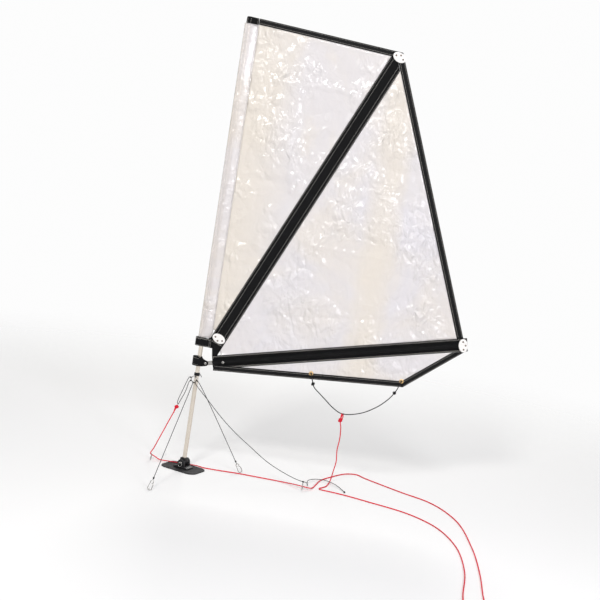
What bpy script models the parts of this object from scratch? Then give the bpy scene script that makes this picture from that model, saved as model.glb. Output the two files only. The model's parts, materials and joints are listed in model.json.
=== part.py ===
"""A small canoe sail on its mast, with two struts that fold like a fan.

Metres, +Z up. The origin is under the middle of the mast foot, on the deck. The mast stands along +Z and the
sail lies in the XZ plane, with the clew towards +X. Its near side, with the boom, faces -Y.
"""

import math

import bmesh
import bpy
from mathutils import Matrix, Vector

for old in list(bpy.data.objects):
    bpy.data.objects.remove(old, do_unlink=True)

# Clearances
GAP = 0.0003
OVERRUN = 0.004
PIN_CLEARANCE = 0.0004
LAYER_GAP = 0.001

# The deck under the sail: the way aft, measured from +X about +Z
AFT_YAW_DEG = -28.0

# Mast
MAST_RADIUS = 0.008
MAST_WALL = 0.0012
MAST_JOIN_Z = 0.90
FERRULE_REACH = 0.060
HEAD_CAP_FLANGE = 0.003
HEAD_CAP_PLUG = 0.018

# Foot on the deck
PATCH_LENGTH = 0.150
PATCH_WIDTH = 0.110
PATCH_CORNER = 0.030
PATCH_THICKNESS = 0.003
STEP_LENGTH = 0.062
STEP_WIDTH = 0.046
STEP_FLOOR = 0.008
CHEEK_THICKNESS = 0.010
CHEEK_WIDTH = 0.034
PIN_Z = 0.026
CHEEK_CROWN = 0.013
PIN_RADIUS = 0.003
PIN_HEAD_RADIUS = 0.0055
PIN_HEAD_THICKNESS = 0.002
PIN_TAIL = 0.007
PIN_EYE_ROOM = 0.0009
PULL_RING_RADIUS = 0.008
PULL_RING_WIRE = 0.0010
HEEL_RADIUS = 0.0115
HEEL_COLLAR = 0.016
HEEL_PLUG = 0.030

# Sail outline in the XZ plane
HEAD_Z = 1.683
SEAM_X = 0.035
SLEEVE_FRONT = 0.016
SLEEVE_ROOM = 0.0024
SLEEVE_EDGE = 0.0016
TACK_X = 0.061
TACK_Z = 0.511
DIAGONAL_DEG = 66.2
DIAGONAL_REACH = 1.214
PIVOT_X = 0.026
PIVOT_Z = 0.415
BOOM_DEG = 12.9
BOOM_REACH = 0.953
PEAK_OUT = 0.0215
PEAK_SIDE = -0.0015
CLEW_OUT = 0.0110
CLEW_DROP = 0.0238
FLAP_TACK_Z = 0.391
FLAP_CORNER_X = 0.762
FLAP_CORNER_Z = 0.437

# Cloth, tape and webbing
FILM = 0.0008
TAPE = 0.0024
HEAD_TAPE_WIDTH = 0.022
LEECH_TAPE_WIDTH = 0.024
FLAP_TAPE_WIDTH = 0.022
HEAD_TAB_TAIL = 0.003

# Diagonal strut and its pocket
DIAGONAL_POCKET_WIDTH = 0.056
POCKET_EDGE = 0.002
DIAGONAL_POCKET_DEPTH = 0.006
BATTEN_WIDTH = 0.016
BATTEN_DEPTH = 0.003
BATTEN_ROOM = 0.0006
POCKET_START = -0.012
BATTEN_END = 0.012

# Boom and its pocket
BOOM_RADIUS = 0.007
BOOM_WALL = 0.0012
BOOM_POCKET_WIDTH = 0.050
BOOM_POCKET_WALL = 0.0010
BOOM_POCKET_START = 0.026
BOOM_POCKET_END = BOOM_REACH + 0.017
BOOM_TUBE_START = 0.034
BOOM_PLUG = 0.012
TONGUE_THICKNESS = 0.0014
TONGUE_WIDTH = 0.016
TONGUE_NECK = 0.009
TONGUE_REACH = 0.092
LOCK_RIVET_REACH = 0.065

# Straps round the mast
STRAP_THICKNESS = 0.0020
BOOM_STRAP_HEIGHT = 0.035
STRAP_EYE_RADIUS = 0.0105
TACK_STRAP_Z = 0.489
TACK_STRAP_HEIGHT = 0.032
TACK_STRAP_TAIL = 0.036
STRAP_SLACK = 0.023
PATCH_CLOTH = 0.0030
PATCH_FRONT = 0.0225

# Rivets, corner plates and eyelets
RIVET_SHANK = 0.0020
RIVET_HEAD = 0.0046
RIVET_CROWN = 0.0014
PLATE_LENGTH = 0.050
PLATE_WIDTH = 0.034
PLATE_THICKNESS = 0.0018
PLATE_RIVET_SPREAD = 0.0145
PLATE_RIVET_OUT = 0.0085
SMALL_RIVET_HEAD = 0.0030
SMALL_RIVET_SHANK = 0.0016
SMALL_RIVET_CROWN = 0.0010
EYELET_RADIUS = 0.0080
EYELET_HOLE = 0.0034
EYELET_BARREL = 0.0007
EYELET_FLANGE = 0.0008
EYELET_X = 0.418

# Stay ring on the mast
STAY_RING_RADIUS = 0.0105
STAY_RING_WIRE = 0.0016
STAY_RING_X = -0.008
STAY_RING_Z = 0.346
LASHING_LOOP_DEG = 62.0
LASHING_HEIGHT = 0.014
LASHING_Z = 0.3635

# Snap hooks and rings on the deck
HOOK_WIRE = 0.0014
HOOK_HALF_WIDTH = 0.0075
HOOK_EYE_RADIUS = 0.0055
HOOK_LENGTH = 0.038
GATE_RADIUS = 0.0011
GATE_END_ROOM = 0.0006
NEAR_HOOK_X = -0.090
NEAR_HOOK_Y = -0.330
FAR_HOOK_X = 0.213
FAR_HOOK_Y = 0.052
DECK_RING_RADIUS = 0.0125
DECK_RING_WIRE = 0.0016
DECK_RING_X = 0.452
DECK_RING_Y = -0.048
BOW_RING_X = -0.128
BOW_RING_Y = 0.046

# Cords
STAY_RADIUS = 0.0012
BRIDLE_RADIUS = 0.0018
LINE_RADIUS = 0.0020
LOOP_SHARE = 1.6
KNOT_SHARE = 2.2
KNOT_HALF_LENGTH_SHARE = 4.0
SWELL_STEP = 0.35
BEND_STEP = math.radians(7)
LONGEST_STEP = 0.060
COIL_RADIUS = 0.022
COIL_PITCH = 0.0047
COIL_TURNS_A_LAYER = 2
COIL_EXIT = 0.011
POINTS_PER_TURN = 24

# Facets
ROUND_SIDES = 20
SMALL_SIDES = 12
PANEL_ACROSS = 10
PANEL_ALONG = 3

X_AXIS = Vector((1, 0, 0))
Y_AXIS = Vector((0, 1, 0))
Z_AXIS = Vector((0, 0, 1))
NEAR = -Y_AXIS


# Depths of the layers, nearest the mast first: a strut folds past what lies behind it
SEAM_Y = 0.0
SLEEVE_NEAR_Y = -(MAST_RADIUS + SLEEVE_ROOM)
DIAGONAL_Y = SLEEVE_NEAR_Y - LAYER_GAP - DIAGONAL_POCKET_DEPTH / 2
PLATE_BACK_Y = DIAGONAL_Y - DIAGONAL_POCKET_DEPTH / 2 - GAP
BOOM_BACK_Y = PLATE_BACK_Y - PLATE_THICKNESS - GAP - SMALL_RIVET_CROWN - LAYER_GAP
BOOM_Y = BOOM_BACK_Y - BOOM_POCKET_WALL - GAP - BOOM_RADIUS
BOOM_NEAR_Y = BOOM_Y - BOOM_RADIUS - GAP - BOOM_POCKET_WALL
FLAP_Y = BOOM_BACK_Y - TAPE / 2 - GAP - EYELET_FLANGE
RING_Y = -(MAST_RADIUS + GAP + 2 * STAY_RADIUS + GAP + STAY_RING_WIRE)


# Materials


def material(name, colour, roughness, metallic=0.0, alpha=1.0):
    finish = bpy.data.materials.new(name)
    finish.use_nodes = True
    shader = finish.node_tree.nodes["Principled BSDF"]
    shader.inputs["Base Color"].default_value = (*colour, 1.0)
    shader.inputs["Roughness"].default_value = roughness
    shader.inputs["Metallic"].default_value = metallic
    shader.inputs["Alpha"].default_value = alpha
    return finish


ALUMINIUM = material("mast_aluminium", (0.82, 0.82, 0.83), 0.30, 1.0)
STEEL = material("bright_steel", (0.75, 0.75, 0.76), 0.20, 1.0)
BRASS = material("eyelet_brass", (0.72, 0.52, 0.26), 0.30, 1.0)
BLACK_PLASTIC = material("black_plastic", (0.02, 0.02, 0.022), 0.45)
DECK_RUBBER = material("deck_rubber", (0.03, 0.03, 0.033), 0.70)
CLEAR_FILM = material("clear_film", (0.87, 0.86, 0.85), 0.25, alpha=0.6)
BLACK_WEBBING = material("black_webbing", (0.015, 0.015, 0.017), 0.65)
GLASS_FIBRE = material("glass_fibre", (0.80, 0.78, 0.66), 0.40)
PLATE_WHITE = material("plate_white", (0.84, 0.84, 0.83), 0.30)
DARK_CORD = material("dark_cord", (0.05, 0.05, 0.055), 0.70)
RED_CORD = material("red_cord", (0.75, 0.04, 0.06), 0.60)


# Shapes in the sail's own plane: a line is a point and a direction, both as (x, z)


def line(x, z, degrees):
    angle = math.radians(degrees)
    return Vector((x, z)), Vector((math.cos(angle), math.sin(angle)))


def line_through(first, second):
    return Vector(first), (Vector(second) - Vector(first)).normalized()


def shifted(a_line, distance):
    """The same line moved to its left side, seen with x to the right and z up."""
    point, way = a_line
    return point + Vector((-way.y, way.x)) * distance, way


def meet(first, second):
    (p, u), (q, v) = first, second
    cross = u.x * v.y - u.y * v.x
    along = ((q.x - p.x) * v.y - (q.y - p.y) * v.x) / cross
    return p + u * along


def along(a_line, distance, left=0.0):
    point, way = a_line
    return point + way * distance + Vector((-way.y, way.x)) * left


DIAGONAL = line(TACK_X, TACK_Z, DIAGONAL_DEG)
BOOM = line(PIVOT_X, PIVOT_Z, BOOM_DEG)
SEAM = line(SEAM_X, 0.0, 90.0)
PEAK = along(DIAGONAL, DIAGONAL_REACH + PEAK_OUT, PEAK_SIDE)
CLEW = along(BOOM, BOOM_REACH + CLEW_OUT, -CLEW_DROP)
HEAD = line_through((0.0, HEAD_Z), PEAK)
LEECH = line_through(PEAK, CLEW)
POCKET_TOP = shifted(BOOM, BOOM_POCKET_WIDTH / 2)
POCKET_FOOT = shifted(BOOM, -BOOM_POCKET_WIDTH / 2)
FLAP_TACK = meet(POCKET_FOOT, shifted(line(*along(BOOM, BOOM_POCKET_START), BOOM_DEG + 90), 0.0))
FLAP_LOW = line_through((FLAP_TACK.x, FLAP_TACK_Z), (FLAP_CORNER_X, FLAP_CORNER_Z))
FLAP_RISE = line_through((FLAP_CORNER_X, FLAP_CORNER_Z), CLEW)
HEAD_INNER = shifted(HEAD, -HEAD_TAPE_WIDTH)
LEECH_INNER = shifted(LEECH, -LEECH_TAPE_WIDTH)
FLAP_LOW_INNER = shifted(FLAP_LOW, FLAP_TAPE_WIDTH)
FLAP_RISE_INNER = shifted(FLAP_RISE, FLAP_TAPE_WIDTH)
DIAGONAL_FRONT = shifted(DIAGONAL, DIAGONAL_POCKET_WIDTH / 2)
DIAGONAL_BACK = shifted(DIAGONAL, -DIAGONAL_POCKET_WIDTH / 2)


# Builders


def finished(name, bm, finish, smooth=True):
    bmesh.ops.remove_doubles(bm, verts=bm.verts, dist=GAP / 30)
    bmesh.ops.recalc_face_normals(bm, faces=bm.faces)
    mesh = bpy.data.meshes.new(name)
    bm.to_mesh(mesh)
    bm.free()
    if smooth:
        mesh.shade_smooth()
        mesh.set_sharp_from_angle(angle=math.radians(35))
    mesh.materials.append(finish)
    obj = bpy.data.objects.new(name, mesh)
    bpy.context.scene.collection.objects.link(obj)
    return obj


def add_plate(bm, outline, y_front, y_back):
    """An outline of (x, z) points, extruded from one depth to the other."""
    face = bm.faces.new([bm.verts.new((x, y_front, z)) for x, z in outline])
    grown = bmesh.ops.extrude_face_region(bm, geom=[face])
    moved = [v for v in grown["geom"] if isinstance(v, bmesh.types.BMVert)]
    bmesh.ops.translate(bm, verts=moved, vec=(0, y_back - y_front, 0))


def add_rod(bm, start, end, radius, sides=SMALL_SIDES, end_radius=None):
    start, end = Vector(start), Vector(end)
    way = end - start
    place = Matrix.Translation((start + end) / 2) @ way.to_track_quat("Z", "Y").to_matrix().to_4x4()
    bmesh.ops.create_cone(
        bm,
        cap_ends=True,
        segments=sides,
        radius1=radius,
        radius2=radius if end_radius is None else end_radius,
        depth=way.length,
        matrix=place,
    )


def add_turned(bm, profile, base, way, sides=ROUND_SIDES):
    """A closed profile of (radius, height) points spun round the line from base along way."""
    place = Matrix.Translation(Vector(base)) @ Vector(way).to_track_quat("Z", "Y").to_matrix().to_4x4()
    verts = [bm.verts.new(place @ Vector((r, 0, h))) for r, h in profile]
    edges = [bm.edges.new((a, b)) for a, b in zip(verts, verts[1:])]
    if profile[0][0] > 0:
        edges.append(bm.edges.new((verts[-1], verts[0])))
    bmesh.ops.spin(
        bm,
        geom=verts + edges,
        cent=place.translation,
        axis=place.to_3x3() @ Z_AXIS,
        angle=math.tau,
        steps=sides,
        use_merge=True,
        use_duplicate=False,
    )


def turned(name, profile, base, way, finish, sides=ROUND_SIDES):
    bm = bmesh.new()
    add_turned(bm, profile, base, way, sides)
    return finished(name, bm, finish)


def sleeve_profile(inner, outer, low, high):
    return [(inner, low), (outer, low), (outer, high), (inner, high)]


def rivet_profile(shank, head, crown, grip):
    """A rivet from its tail up through what it grips to its domed head."""
    return [
        (0, 0),
        (shank, 0),
        (shank, grip),
        (head, grip),
        (head * 0.85, grip + crown * 0.6),
        (head * 0.45, grip + crown),
        (0, grip + crown),
    ]


def two_headed_profile(shank, head, crown, grip):
    return [
        (0, -crown),
        (head * 0.5, -crown),
        (head, -crown * 0.3),
        (head, 0),
        (shank, 0),
        (shank, grip),
        (head, grip),
        (head, grip + crown * 0.3),
        (head * 0.5, grip + crown),
        (0, grip + crown),
    ]


def ring_in(bm, centre, way, radius, wire, sides=18, wire_sides=6):
    """A round ring of wire whose hole looks along way."""
    place = Matrix.Translation(Vector(centre)) @ Vector(way).to_track_quat("Z", "Y").to_matrix().to_4x4()
    start = place @ Vector((radius, 0, 0))
    made = bmesh.ops.create_circle(
        bm,
        cap_ends=False,
        segments=wire_sides,
        radius=wire,
        matrix=Matrix.Translation(start) @ (place.to_3x3() @ Matrix.Rotation(math.pi / 2, 3, "X")).to_4x4(),
    )
    edges = {e for v in made["verts"] for e in v.link_edges}
    bmesh.ops.spin(
        bm,
        geom=made["verts"] + list(edges),
        cent=place.translation,
        axis=place.to_3x3() @ Z_AXIS,
        angle=math.tau,
        steps=sides,
        use_merge=True,
        use_duplicate=False,
    )


def smooth_route(points, step):
    """Points about one step apart on a smooth curve through the route's own points, and where those are."""
    route = [Vector(p) for p in points]
    ends = [route[0] * 2 - route[1], *route, route[-1] * 2 - route[-2]]
    made, marks = [route[0]], [0]
    for four in zip(ends, ends[1:], ends[2:], ends[3:]):
        knots = [0.0]
        for a, b in zip(four, four[1:]):
            knots.append(knots[-1] + math.sqrt((b - a).length))
        pieces = max(1, round((four[2] - four[1]).length / step))
        for i in range(1, pieces + 1):
            made.append(through_four(four, knots, knots[1] + (knots[2] - knots[1]) * i / pieces))
        marks.append(len(made) - 1)
    return made, marks


def through_four(points, knots, t):
    """The point at t of the curve that passes each of four points at its own knot."""

    def mix(a, b, low, high):
        return a.lerp(b, (t - low) / (high - low))

    first = [mix(points[k], points[k + 1], knots[k], knots[k + 1]) for k in range(3)]
    second = [mix(first[k], first[k + 1], knots[k], knots[k + 2]) for k in range(2)]
    return mix(*second, knots[1], knots[2])


def cord(name, points, radius, finish, resolution=2):
    curve = bpy.data.curves.new(name, "CURVE")
    curve.dimensions = "3D"
    curve.bevel_depth = radius
    curve.bevel_resolution = resolution
    curve.use_fill_caps = True
    spline = curve.splines.new("POLY")
    spline.points.add(len(points) - 1)
    for spot, p in zip(spline.points, points):
        spot.co = (*p, 1.0)
    curve.materials.append(finish)
    obj = bpy.data.objects.new(name, curve)
    bpy.context.scene.collection.objects.link(obj)
    return obj


def cut(obj, name, build):
    """Takes the shape that build makes out of an object."""
    bm = bmesh.new()
    build(bm)
    cutter = finished(name, bm, obj.data.materials[0], smooth=False)
    cutter.hide_render = True
    cutter.display_type = "WIRE"
    hole = obj.modifiers.new(name, "BOOLEAN")
    hole.operation = "DIFFERENCE"
    hole.object = cutter
    return cutter


def at(point, y):
    return Vector((point.x, y, point.y))


def eased(share):
    """The share of depth at a share of the way across: flat in the middle and quicker at both edges."""
    return 0.5 - math.sin(math.asin(1 - 2 * share) / 3)


def cloth(name, edge_a, edge_b, y_a, y_b, finish):
    """A film panel between two edges, each a pair of (x, z) ends, at one depth and then the other."""
    bm = bmesh.new()
    rows = []
    for j in range(PANEL_ALONG + 1):
        v = j / PANEL_ALONG
        a, b = edge_a[0].lerp(edge_a[1], v), edge_b[0].lerp(edge_b[1], v)
        row = []
        for i in range(PANEL_ACROSS + 1):
            u = i / PANEL_ACROSS
            row.append(bm.verts.new(at(a.lerp(b, u), y_a + (y_b - y_a) * eased(u))))
        rows.append(row)
    for low, high in zip(rows, rows[1:]):
        for i in range(PANEL_ACROSS):
            bm.faces.new((low[i], low[i + 1], high[i + 1], high[i]))
    obj = finished(name, bm, finish)
    skin = obj.modifiers.new("film", "SOLIDIFY")
    skin.thickness = FILM
    skin.offset = 0.0
    return obj


def tape(name, outer_a, outer_b, inner_a, inner_b, y_a, y_b, finish):
    """An edge tape between its outer and inner edges, whose depth follows the film that it binds."""
    bm = bmesh.new()
    rings = []
    for i in range(PANEL_ACROSS + 1):
        u = i / PANEL_ACROSS
        y = y_a + (y_b - y_a) * eased(u)
        outer, inner = outer_a.lerp(outer_b, u), inner_a.lerp(inner_b, u)
        near_pair = [at(outer, y - TAPE / 2), at(inner, y - TAPE / 2)]
        far_pair = [at(inner, y + TAPE / 2), at(outer, y + TAPE / 2)]
        rings.append([bm.verts.new(p) for p in near_pair + far_pair])
    for low, high in zip(rings, rings[1:]):
        for k in range(4):
            bm.faces.new((low[k], low[(k + 1) % 4], high[(k + 1) % 4], high[k]))
    bm.faces.new(rings[0][::-1])
    bm.faces.new(rings[-1])
    return finished(name, bm, finish)


def strap(name, path, half_heights, middle_z, finish):
    """Webbing on edge along a path of (x, y) points, as high at each point as half_heights says."""
    bm = bmesh.new()
    rings = []
    for i, (p, half) in enumerate(zip(path, half_heights)):
        before, after = path[max(i - 1, 0)], path[min(i + 1, len(path) - 1)]
        way = (after - before).normalized()
        side = Vector((-way.y, way.x)) * STRAP_THICKNESS / 2
        corners = [(p + side, half), (p + side, -half), (p - side, -half), (p - side, half)]
        rings.append([bm.verts.new((q.x, q.y, middle_z + h)) for q, h in corners])
    for low, high in zip(rings, rings[1:]):
        for k in range(4):
            bm.faces.new((low[k], low[(k + 1) % 4], high[(k + 1) % 4], high[k]))
    bm.faces.new(rings[0][::-1])
    bm.faces.new(rings[-1])
    return finished(name, bm, finish)


# Foot on the deck


def deck_turn():
    """Turns +X to the way aft, so that the mast's hinge lies across the boat."""
    return Matrix.Rotation(math.radians(AFT_YAW_DEG), 4, "Z")


AFT = deck_turn() @ X_AXIS
ACROSS = deck_turn() @ Y_AXIS
HEEL_HALF_THICKNESS = STEP_WIDTH / 2 - CHEEK_THICKNESS - GAP
STEP_BASE_Z = PATCH_THICKNESS + GAP


def rounded_outline(length, width, corner, steps=5):
    points = []
    for quarter, (sx, sy) in enumerate(((1, 1), (-1, 1), (-1, -1), (1, -1))):
        for i in range(steps + 1):
            angle = math.pi / 2 * (quarter + i / steps)
            x = sx * (length / 2 - corner) + corner * math.cos(angle)
            y = sy * (width / 2 - corner) + corner * math.sin(angle)
            points.append(Vector((x, y, 0)))
    return points


def add_slab(bm, outline, low, high):
    face = bm.faces.new([bm.verts.new(p + Z_AXIS * low) for p in outline])
    grown = bmesh.ops.extrude_face_region(bm, geom=[face])
    moved = [v for v in grown["geom"] if isinstance(v, bmesh.types.BMVert)]
    bmesh.ops.translate(bm, verts=moved, vec=(0, 0, high - low))


def make_foot():
    turn = deck_turn()
    bm = bmesh.new()
    outline = rounded_outline(PATCH_LENGTH, PATCH_WIDTH, PATCH_CORNER)
    add_slab(bm, [turn @ p for p in outline], 0.0, PATCH_THICKNESS)
    finished("foot_patch", bm, DECK_RUBBER)

    bm = bmesh.new()
    side = [
        (-STEP_LENGTH / 2, STEP_BASE_Z),
        (STEP_LENGTH / 2, STEP_BASE_Z),
        (STEP_LENGTH / 2, STEP_BASE_Z + STEP_FLOOR * 0.5),
        (CHEEK_WIDTH / 2, STEP_BASE_Z + STEP_FLOOR),
        (CHEEK_CROWN, PIN_Z + CHEEK_CROWN * 0.4),
        (CHEEK_CROWN * 0.6, PIN_Z + CHEEK_CROWN * 0.9),
        (-CHEEK_CROWN * 0.6, PIN_Z + CHEEK_CROWN * 0.9),
        (-CHEEK_CROWN, PIN_Z + CHEEK_CROWN * 0.4),
        (-CHEEK_WIDTH / 2, STEP_BASE_Z + STEP_FLOOR),
        (-STEP_LENGTH / 2, STEP_BASE_Z + STEP_FLOOR * 0.5),
    ]
    add_plate(bm, side, -STEP_WIDTH / 2, STEP_WIDTH / 2)
    step = finished("mast_step", bm, BLACK_PLASTIC)
    step.matrix_world = turn
    slot_half = HEEL_HALF_THICKNESS + GAP

    def slot(tool):
        low = PIN_Z - HEEL_RADIUS - GAP * 2
        high = PIN_Z * 2
        outline = [(-STEP_LENGTH, low), (STEP_LENGTH, low), (STEP_LENGTH, high), (-STEP_LENGTH, high)]
        add_plate(tool, outline, -slot_half, slot_half)

    def bore(tool):
        reach = STEP_WIDTH / 2 + OVERRUN
        add_rod(tool, (0, -reach, PIN_Z), (0, reach, PIN_Z), PIN_RADIUS + PIN_CLEARANCE)

    cut(step, "step_slot", slot).matrix_world = turn
    cut(step, "step_bore", bore).matrix_world = turn

    bm = bmesh.new()
    reach = STEP_WIDTH / 2 + GAP
    pin = [
        (0, -reach - PIN_HEAD_THICKNESS),
        (PIN_HEAD_RADIUS, -reach - PIN_HEAD_THICKNESS),
        (PIN_HEAD_RADIUS, -reach),
        (PIN_RADIUS, -reach),
        (PIN_RADIUS, reach + PIN_TAIL),
        (0, reach + PIN_TAIL),
    ]
    add_turned(bm, pin, Z_AXIS * PIN_Z, -ACROSS, SMALL_SIDES)
    step_pin = finished("step_pin", bm, STEEL)
    tail = -ACROSS * (reach + PIN_TAIL / 2) + Z_AXIS * PIN_Z

    def eye(tool):
        add_rod(tool, tail - AFT * OVERRUN, tail + AFT * OVERRUN, PULL_RING_WIRE + PIN_EYE_ROOM, 8)

    cut(step_pin, "pin_eye", eye)

    bm = bmesh.new()
    ring_in(bm, tail - Z_AXIS * PULL_RING_RADIUS, ACROSS, PULL_RING_RADIUS, PULL_RING_WIRE)
    finished("pin_ring", bm, STEEL)


def make_mast():
    inner = MAST_RADIUS - MAST_WALL
    heel_top = PIN_Z + HEEL_COLLAR
    bm = bmesh.new()
    cheeks = [
        Vector((HEEL_RADIUS * math.cos(a), PIN_Z + HEEL_RADIUS * math.sin(a)))
        for a in [math.pi + math.pi * i / 12 for i in range(13)]
    ]
    outline = [*cheeks, Vector((HEEL_RADIUS, heel_top - GAP)), Vector((-HEEL_RADIUS, heel_top - GAP))]
    add_plate(bm, outline, -HEEL_HALF_THICKNESS, HEEL_HALF_THICKNESS)
    heel = finished("mast_heel", bm, BLACK_PLASTIC)
    heel.matrix_world = deck_turn()
    reach = STEP_WIDTH

    def bore(tool):
        add_rod(tool, (0, -reach, PIN_Z), (0, reach, PIN_Z), PIN_RADIUS + PIN_CLEARANCE)

    cut(heel, "heel_bore", bore).matrix_world = deck_turn()
    plug_bm = bmesh.new()
    plug_low, plug_high = Z_AXIS * (heel_top - GAP - OVERRUN), Z_AXIS * (heel_top + HEEL_PLUG)
    add_rod(plug_bm, plug_low, plug_high, inner - GAP, ROUND_SIDES)
    plug = finished("heel_plug", plug_bm, BLACK_PLASTIC)
    plug.hide_render = True
    plug.display_type = "WIRE"
    joined = heel.modifiers.new("plug", "BOOLEAN")
    joined.operation = "UNION"
    joined.object = plug

    top = meet(HEAD_INNER, line(0.0, 0.0, 90.0)).y - HEAD_TAB_TAIL
    tube_top = top - HEAD_CAP_FLANGE - GAP
    for name, low, high in (
        ("mast_lower_tube", heel_top, MAST_JOIN_Z),
        ("mast_upper_tube", MAST_JOIN_Z + GAP, tube_top),
    ):
        turned(name, sleeve_profile(inner, MAST_RADIUS, low, high), (0, 0, 0), Z_AXIS, ALUMINIUM)
    ferrule = sleeve_profile(inner - MAST_WALL, inner - GAP, -FERRULE_REACH, FERRULE_REACH)
    turned("mast_ferrule", ferrule, Z_AXIS * MAST_JOIN_Z, Z_AXIS, ALUMINIUM)
    cap = [
        (0, -HEAD_CAP_PLUG),
        (inner - GAP, -HEAD_CAP_PLUG),
        (inner - GAP, GAP),
        (MAST_RADIUS, GAP),
        (MAST_RADIUS, HEAD_CAP_FLANGE * 0.6),
        (MAST_RADIUS * 0.7, HEAD_CAP_FLANGE),
        (0, HEAD_CAP_FLANGE),
    ]
    turned("mast_head_cap", cap, Z_AXIS * tube_top, Z_AXIS, BLACK_PLASTIC)


# Stay ring and its lashing


def ring_centre():
    return Vector((STAY_RING_X, RING_Y, STAY_RING_Z))


def make_stay_ring():
    bm = bmesh.new()
    ring_in(bm, ring_centre(), Y_AXIS, STAY_RING_RADIUS, STAY_RING_WIRE)
    finished("stay_ring", bm, STEEL)

    inner = MAST_RADIUS + GAP
    profile = sleeve_profile(inner, inner + 2 * STAY_RADIUS, -LASHING_HEIGHT / 2, LASHING_HEIGHT / 2)
    band = turned("stay_lashing", profile, Z_AXIS * LASHING_Z, Z_AXIS, DARK_CORD)
    angle = math.radians(LASHING_LOOP_DEG)
    outward = Vector((math.cos(angle), 0, math.sin(angle)))
    tangent = Vector((-math.sin(angle), 0, math.cos(angle)))
    bm = bmesh.new()
    ring_in(bm, ring_centre() + outward * STAY_RING_RADIUS, tangent, link_radius(), STAY_RADIUS, 12, 6)
    link = finished("lashing_link", bm, DARK_CORD)
    link.hide_render = True
    link.display_type = "WIRE"
    joined = band.modifiers.new("link", "BOOLEAN")
    joined.operation = "UNION"
    joined.object = link


def link_radius():
    return STAY_RING_WIRE + GAP + STAY_RADIUS


# Luff sleeve, panels and edge tapes


def sleeve_ring(z, wall_in, seam_x):
    """One closed ring of the sleeve's wall at a height: round the mast, then flat to its seam."""
    front = -SLEEVE_FRONT + wall_in
    back = seam_x - wall_in
    middle, half = (front + back) / 2, (back - front) / 2
    points = []
    for i in range(ROUND_SIDES):
        angle = math.tau * i / ROUND_SIDES
        x = middle + half * math.cos(angle)
        flat = max(0.0, min(1.0, x / seam_x))
        depth = (MAST_RADIUS + SLEEVE_ROOM) * (1 - flat) + SLEEVE_EDGE * flat - wall_in
        rise = abs(math.sin(angle)) ** 0.6
        points.append(Vector((x, math.copysign(rise * depth, math.sin(angle)), z)))
    return points


def make_sleeve():
    low = TACK_STRAP_Z + TACK_STRAP_HEIGHT / 2 + GAP
    high_line = shifted(HEAD_INNER, -GAP)
    bm = bmesh.new()
    rings = []
    for wall_in in (0.0, FILM):
        column = []
        for share in (0.0, 0.03, 0.25, 0.5, 0.75, 1.0):
            ring = []
            level = low + (meet(high_line, line(0, 0, 90.0)).y - HEAD_TAB_TAIL - low) * share
            free = meet(DIAGONAL_FRONT, line(0.0, level, 0.0)).x - GAP
            seam_x = min(SEAM_X, free)
            for p in sleeve_ring(level, wall_in, seam_x):
                ring.append(bm.verts.new(p))
            column.append(ring)
        rings.append(column)
    outer, inner = rings
    count = ROUND_SIDES
    for column in (outer, inner):
        for a, b in zip(column, column[1:]):
            for i in range(count):
                bm.faces.new((a[i], a[(i + 1) % count], b[(i + 1) % count], b[i]))
    for a, b in ((outer[0], inner[0]), (outer[-1], inner[-1])):
        for i in range(count):
            bm.faces.new((a[i], a[(i + 1) % count], b[(i + 1) % count], b[i]))
    finished("luff_sleeve", bm, CLEAR_FILM)


def make_head_tab():
    """The folded end of the head tape, which closes the sleeve over the mast."""
    bm = bmesh.new()
    half = MAST_RADIUS + SLEEVE_ROOM
    top = [meet(HEAD, line(x, 0, 90.0)) for x in (-SLEEVE_FRONT * 0.7, SEAM_X - GAP)]
    low_z = meet(HEAD_INNER, line(0, 0, 90.0)).y - HEAD_TAB_TAIL + GAP
    sections = []
    for share, depth in ((0.0, half), (0.35, half * 0.9), (1.0, TAPE / 2)):
        level = [Vector((p.x, low_z + (p.y - low_z) * share)) for p in top]
        shrink = TAPE * share
        ring = [
            (level[0].x + shrink, -depth * 0.55),
            (level[0].x + shrink * 2, depth * 0.55),
            ((level[0].x + level[1].x) / 2, depth),
            (level[1].x, depth * 0.55),
            (level[1].x, -depth * 0.55),
            ((level[0].x + level[1].x) / 2, -depth),
        ]
        z_at = [level[0].y, level[0].y, (level[0].y + level[1].y) / 2, level[1].y, level[1].y]
        z_at.append(z_at[2])
        sections.append([bm.verts.new((x, y, z)) for (x, y), z in zip(ring, z_at)])
    for a, b in zip(sections, sections[1:]):
        for i in range(len(a)):
            j = (i + 1) % len(a)
            bm.faces.new((a[i], a[j], b[j], b[i]))
    bm.faces.new(sections[0][::-1])
    bm.faces.new(sections[-1])
    finished("head_tab", bm, BLACK_WEBBING)


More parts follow.
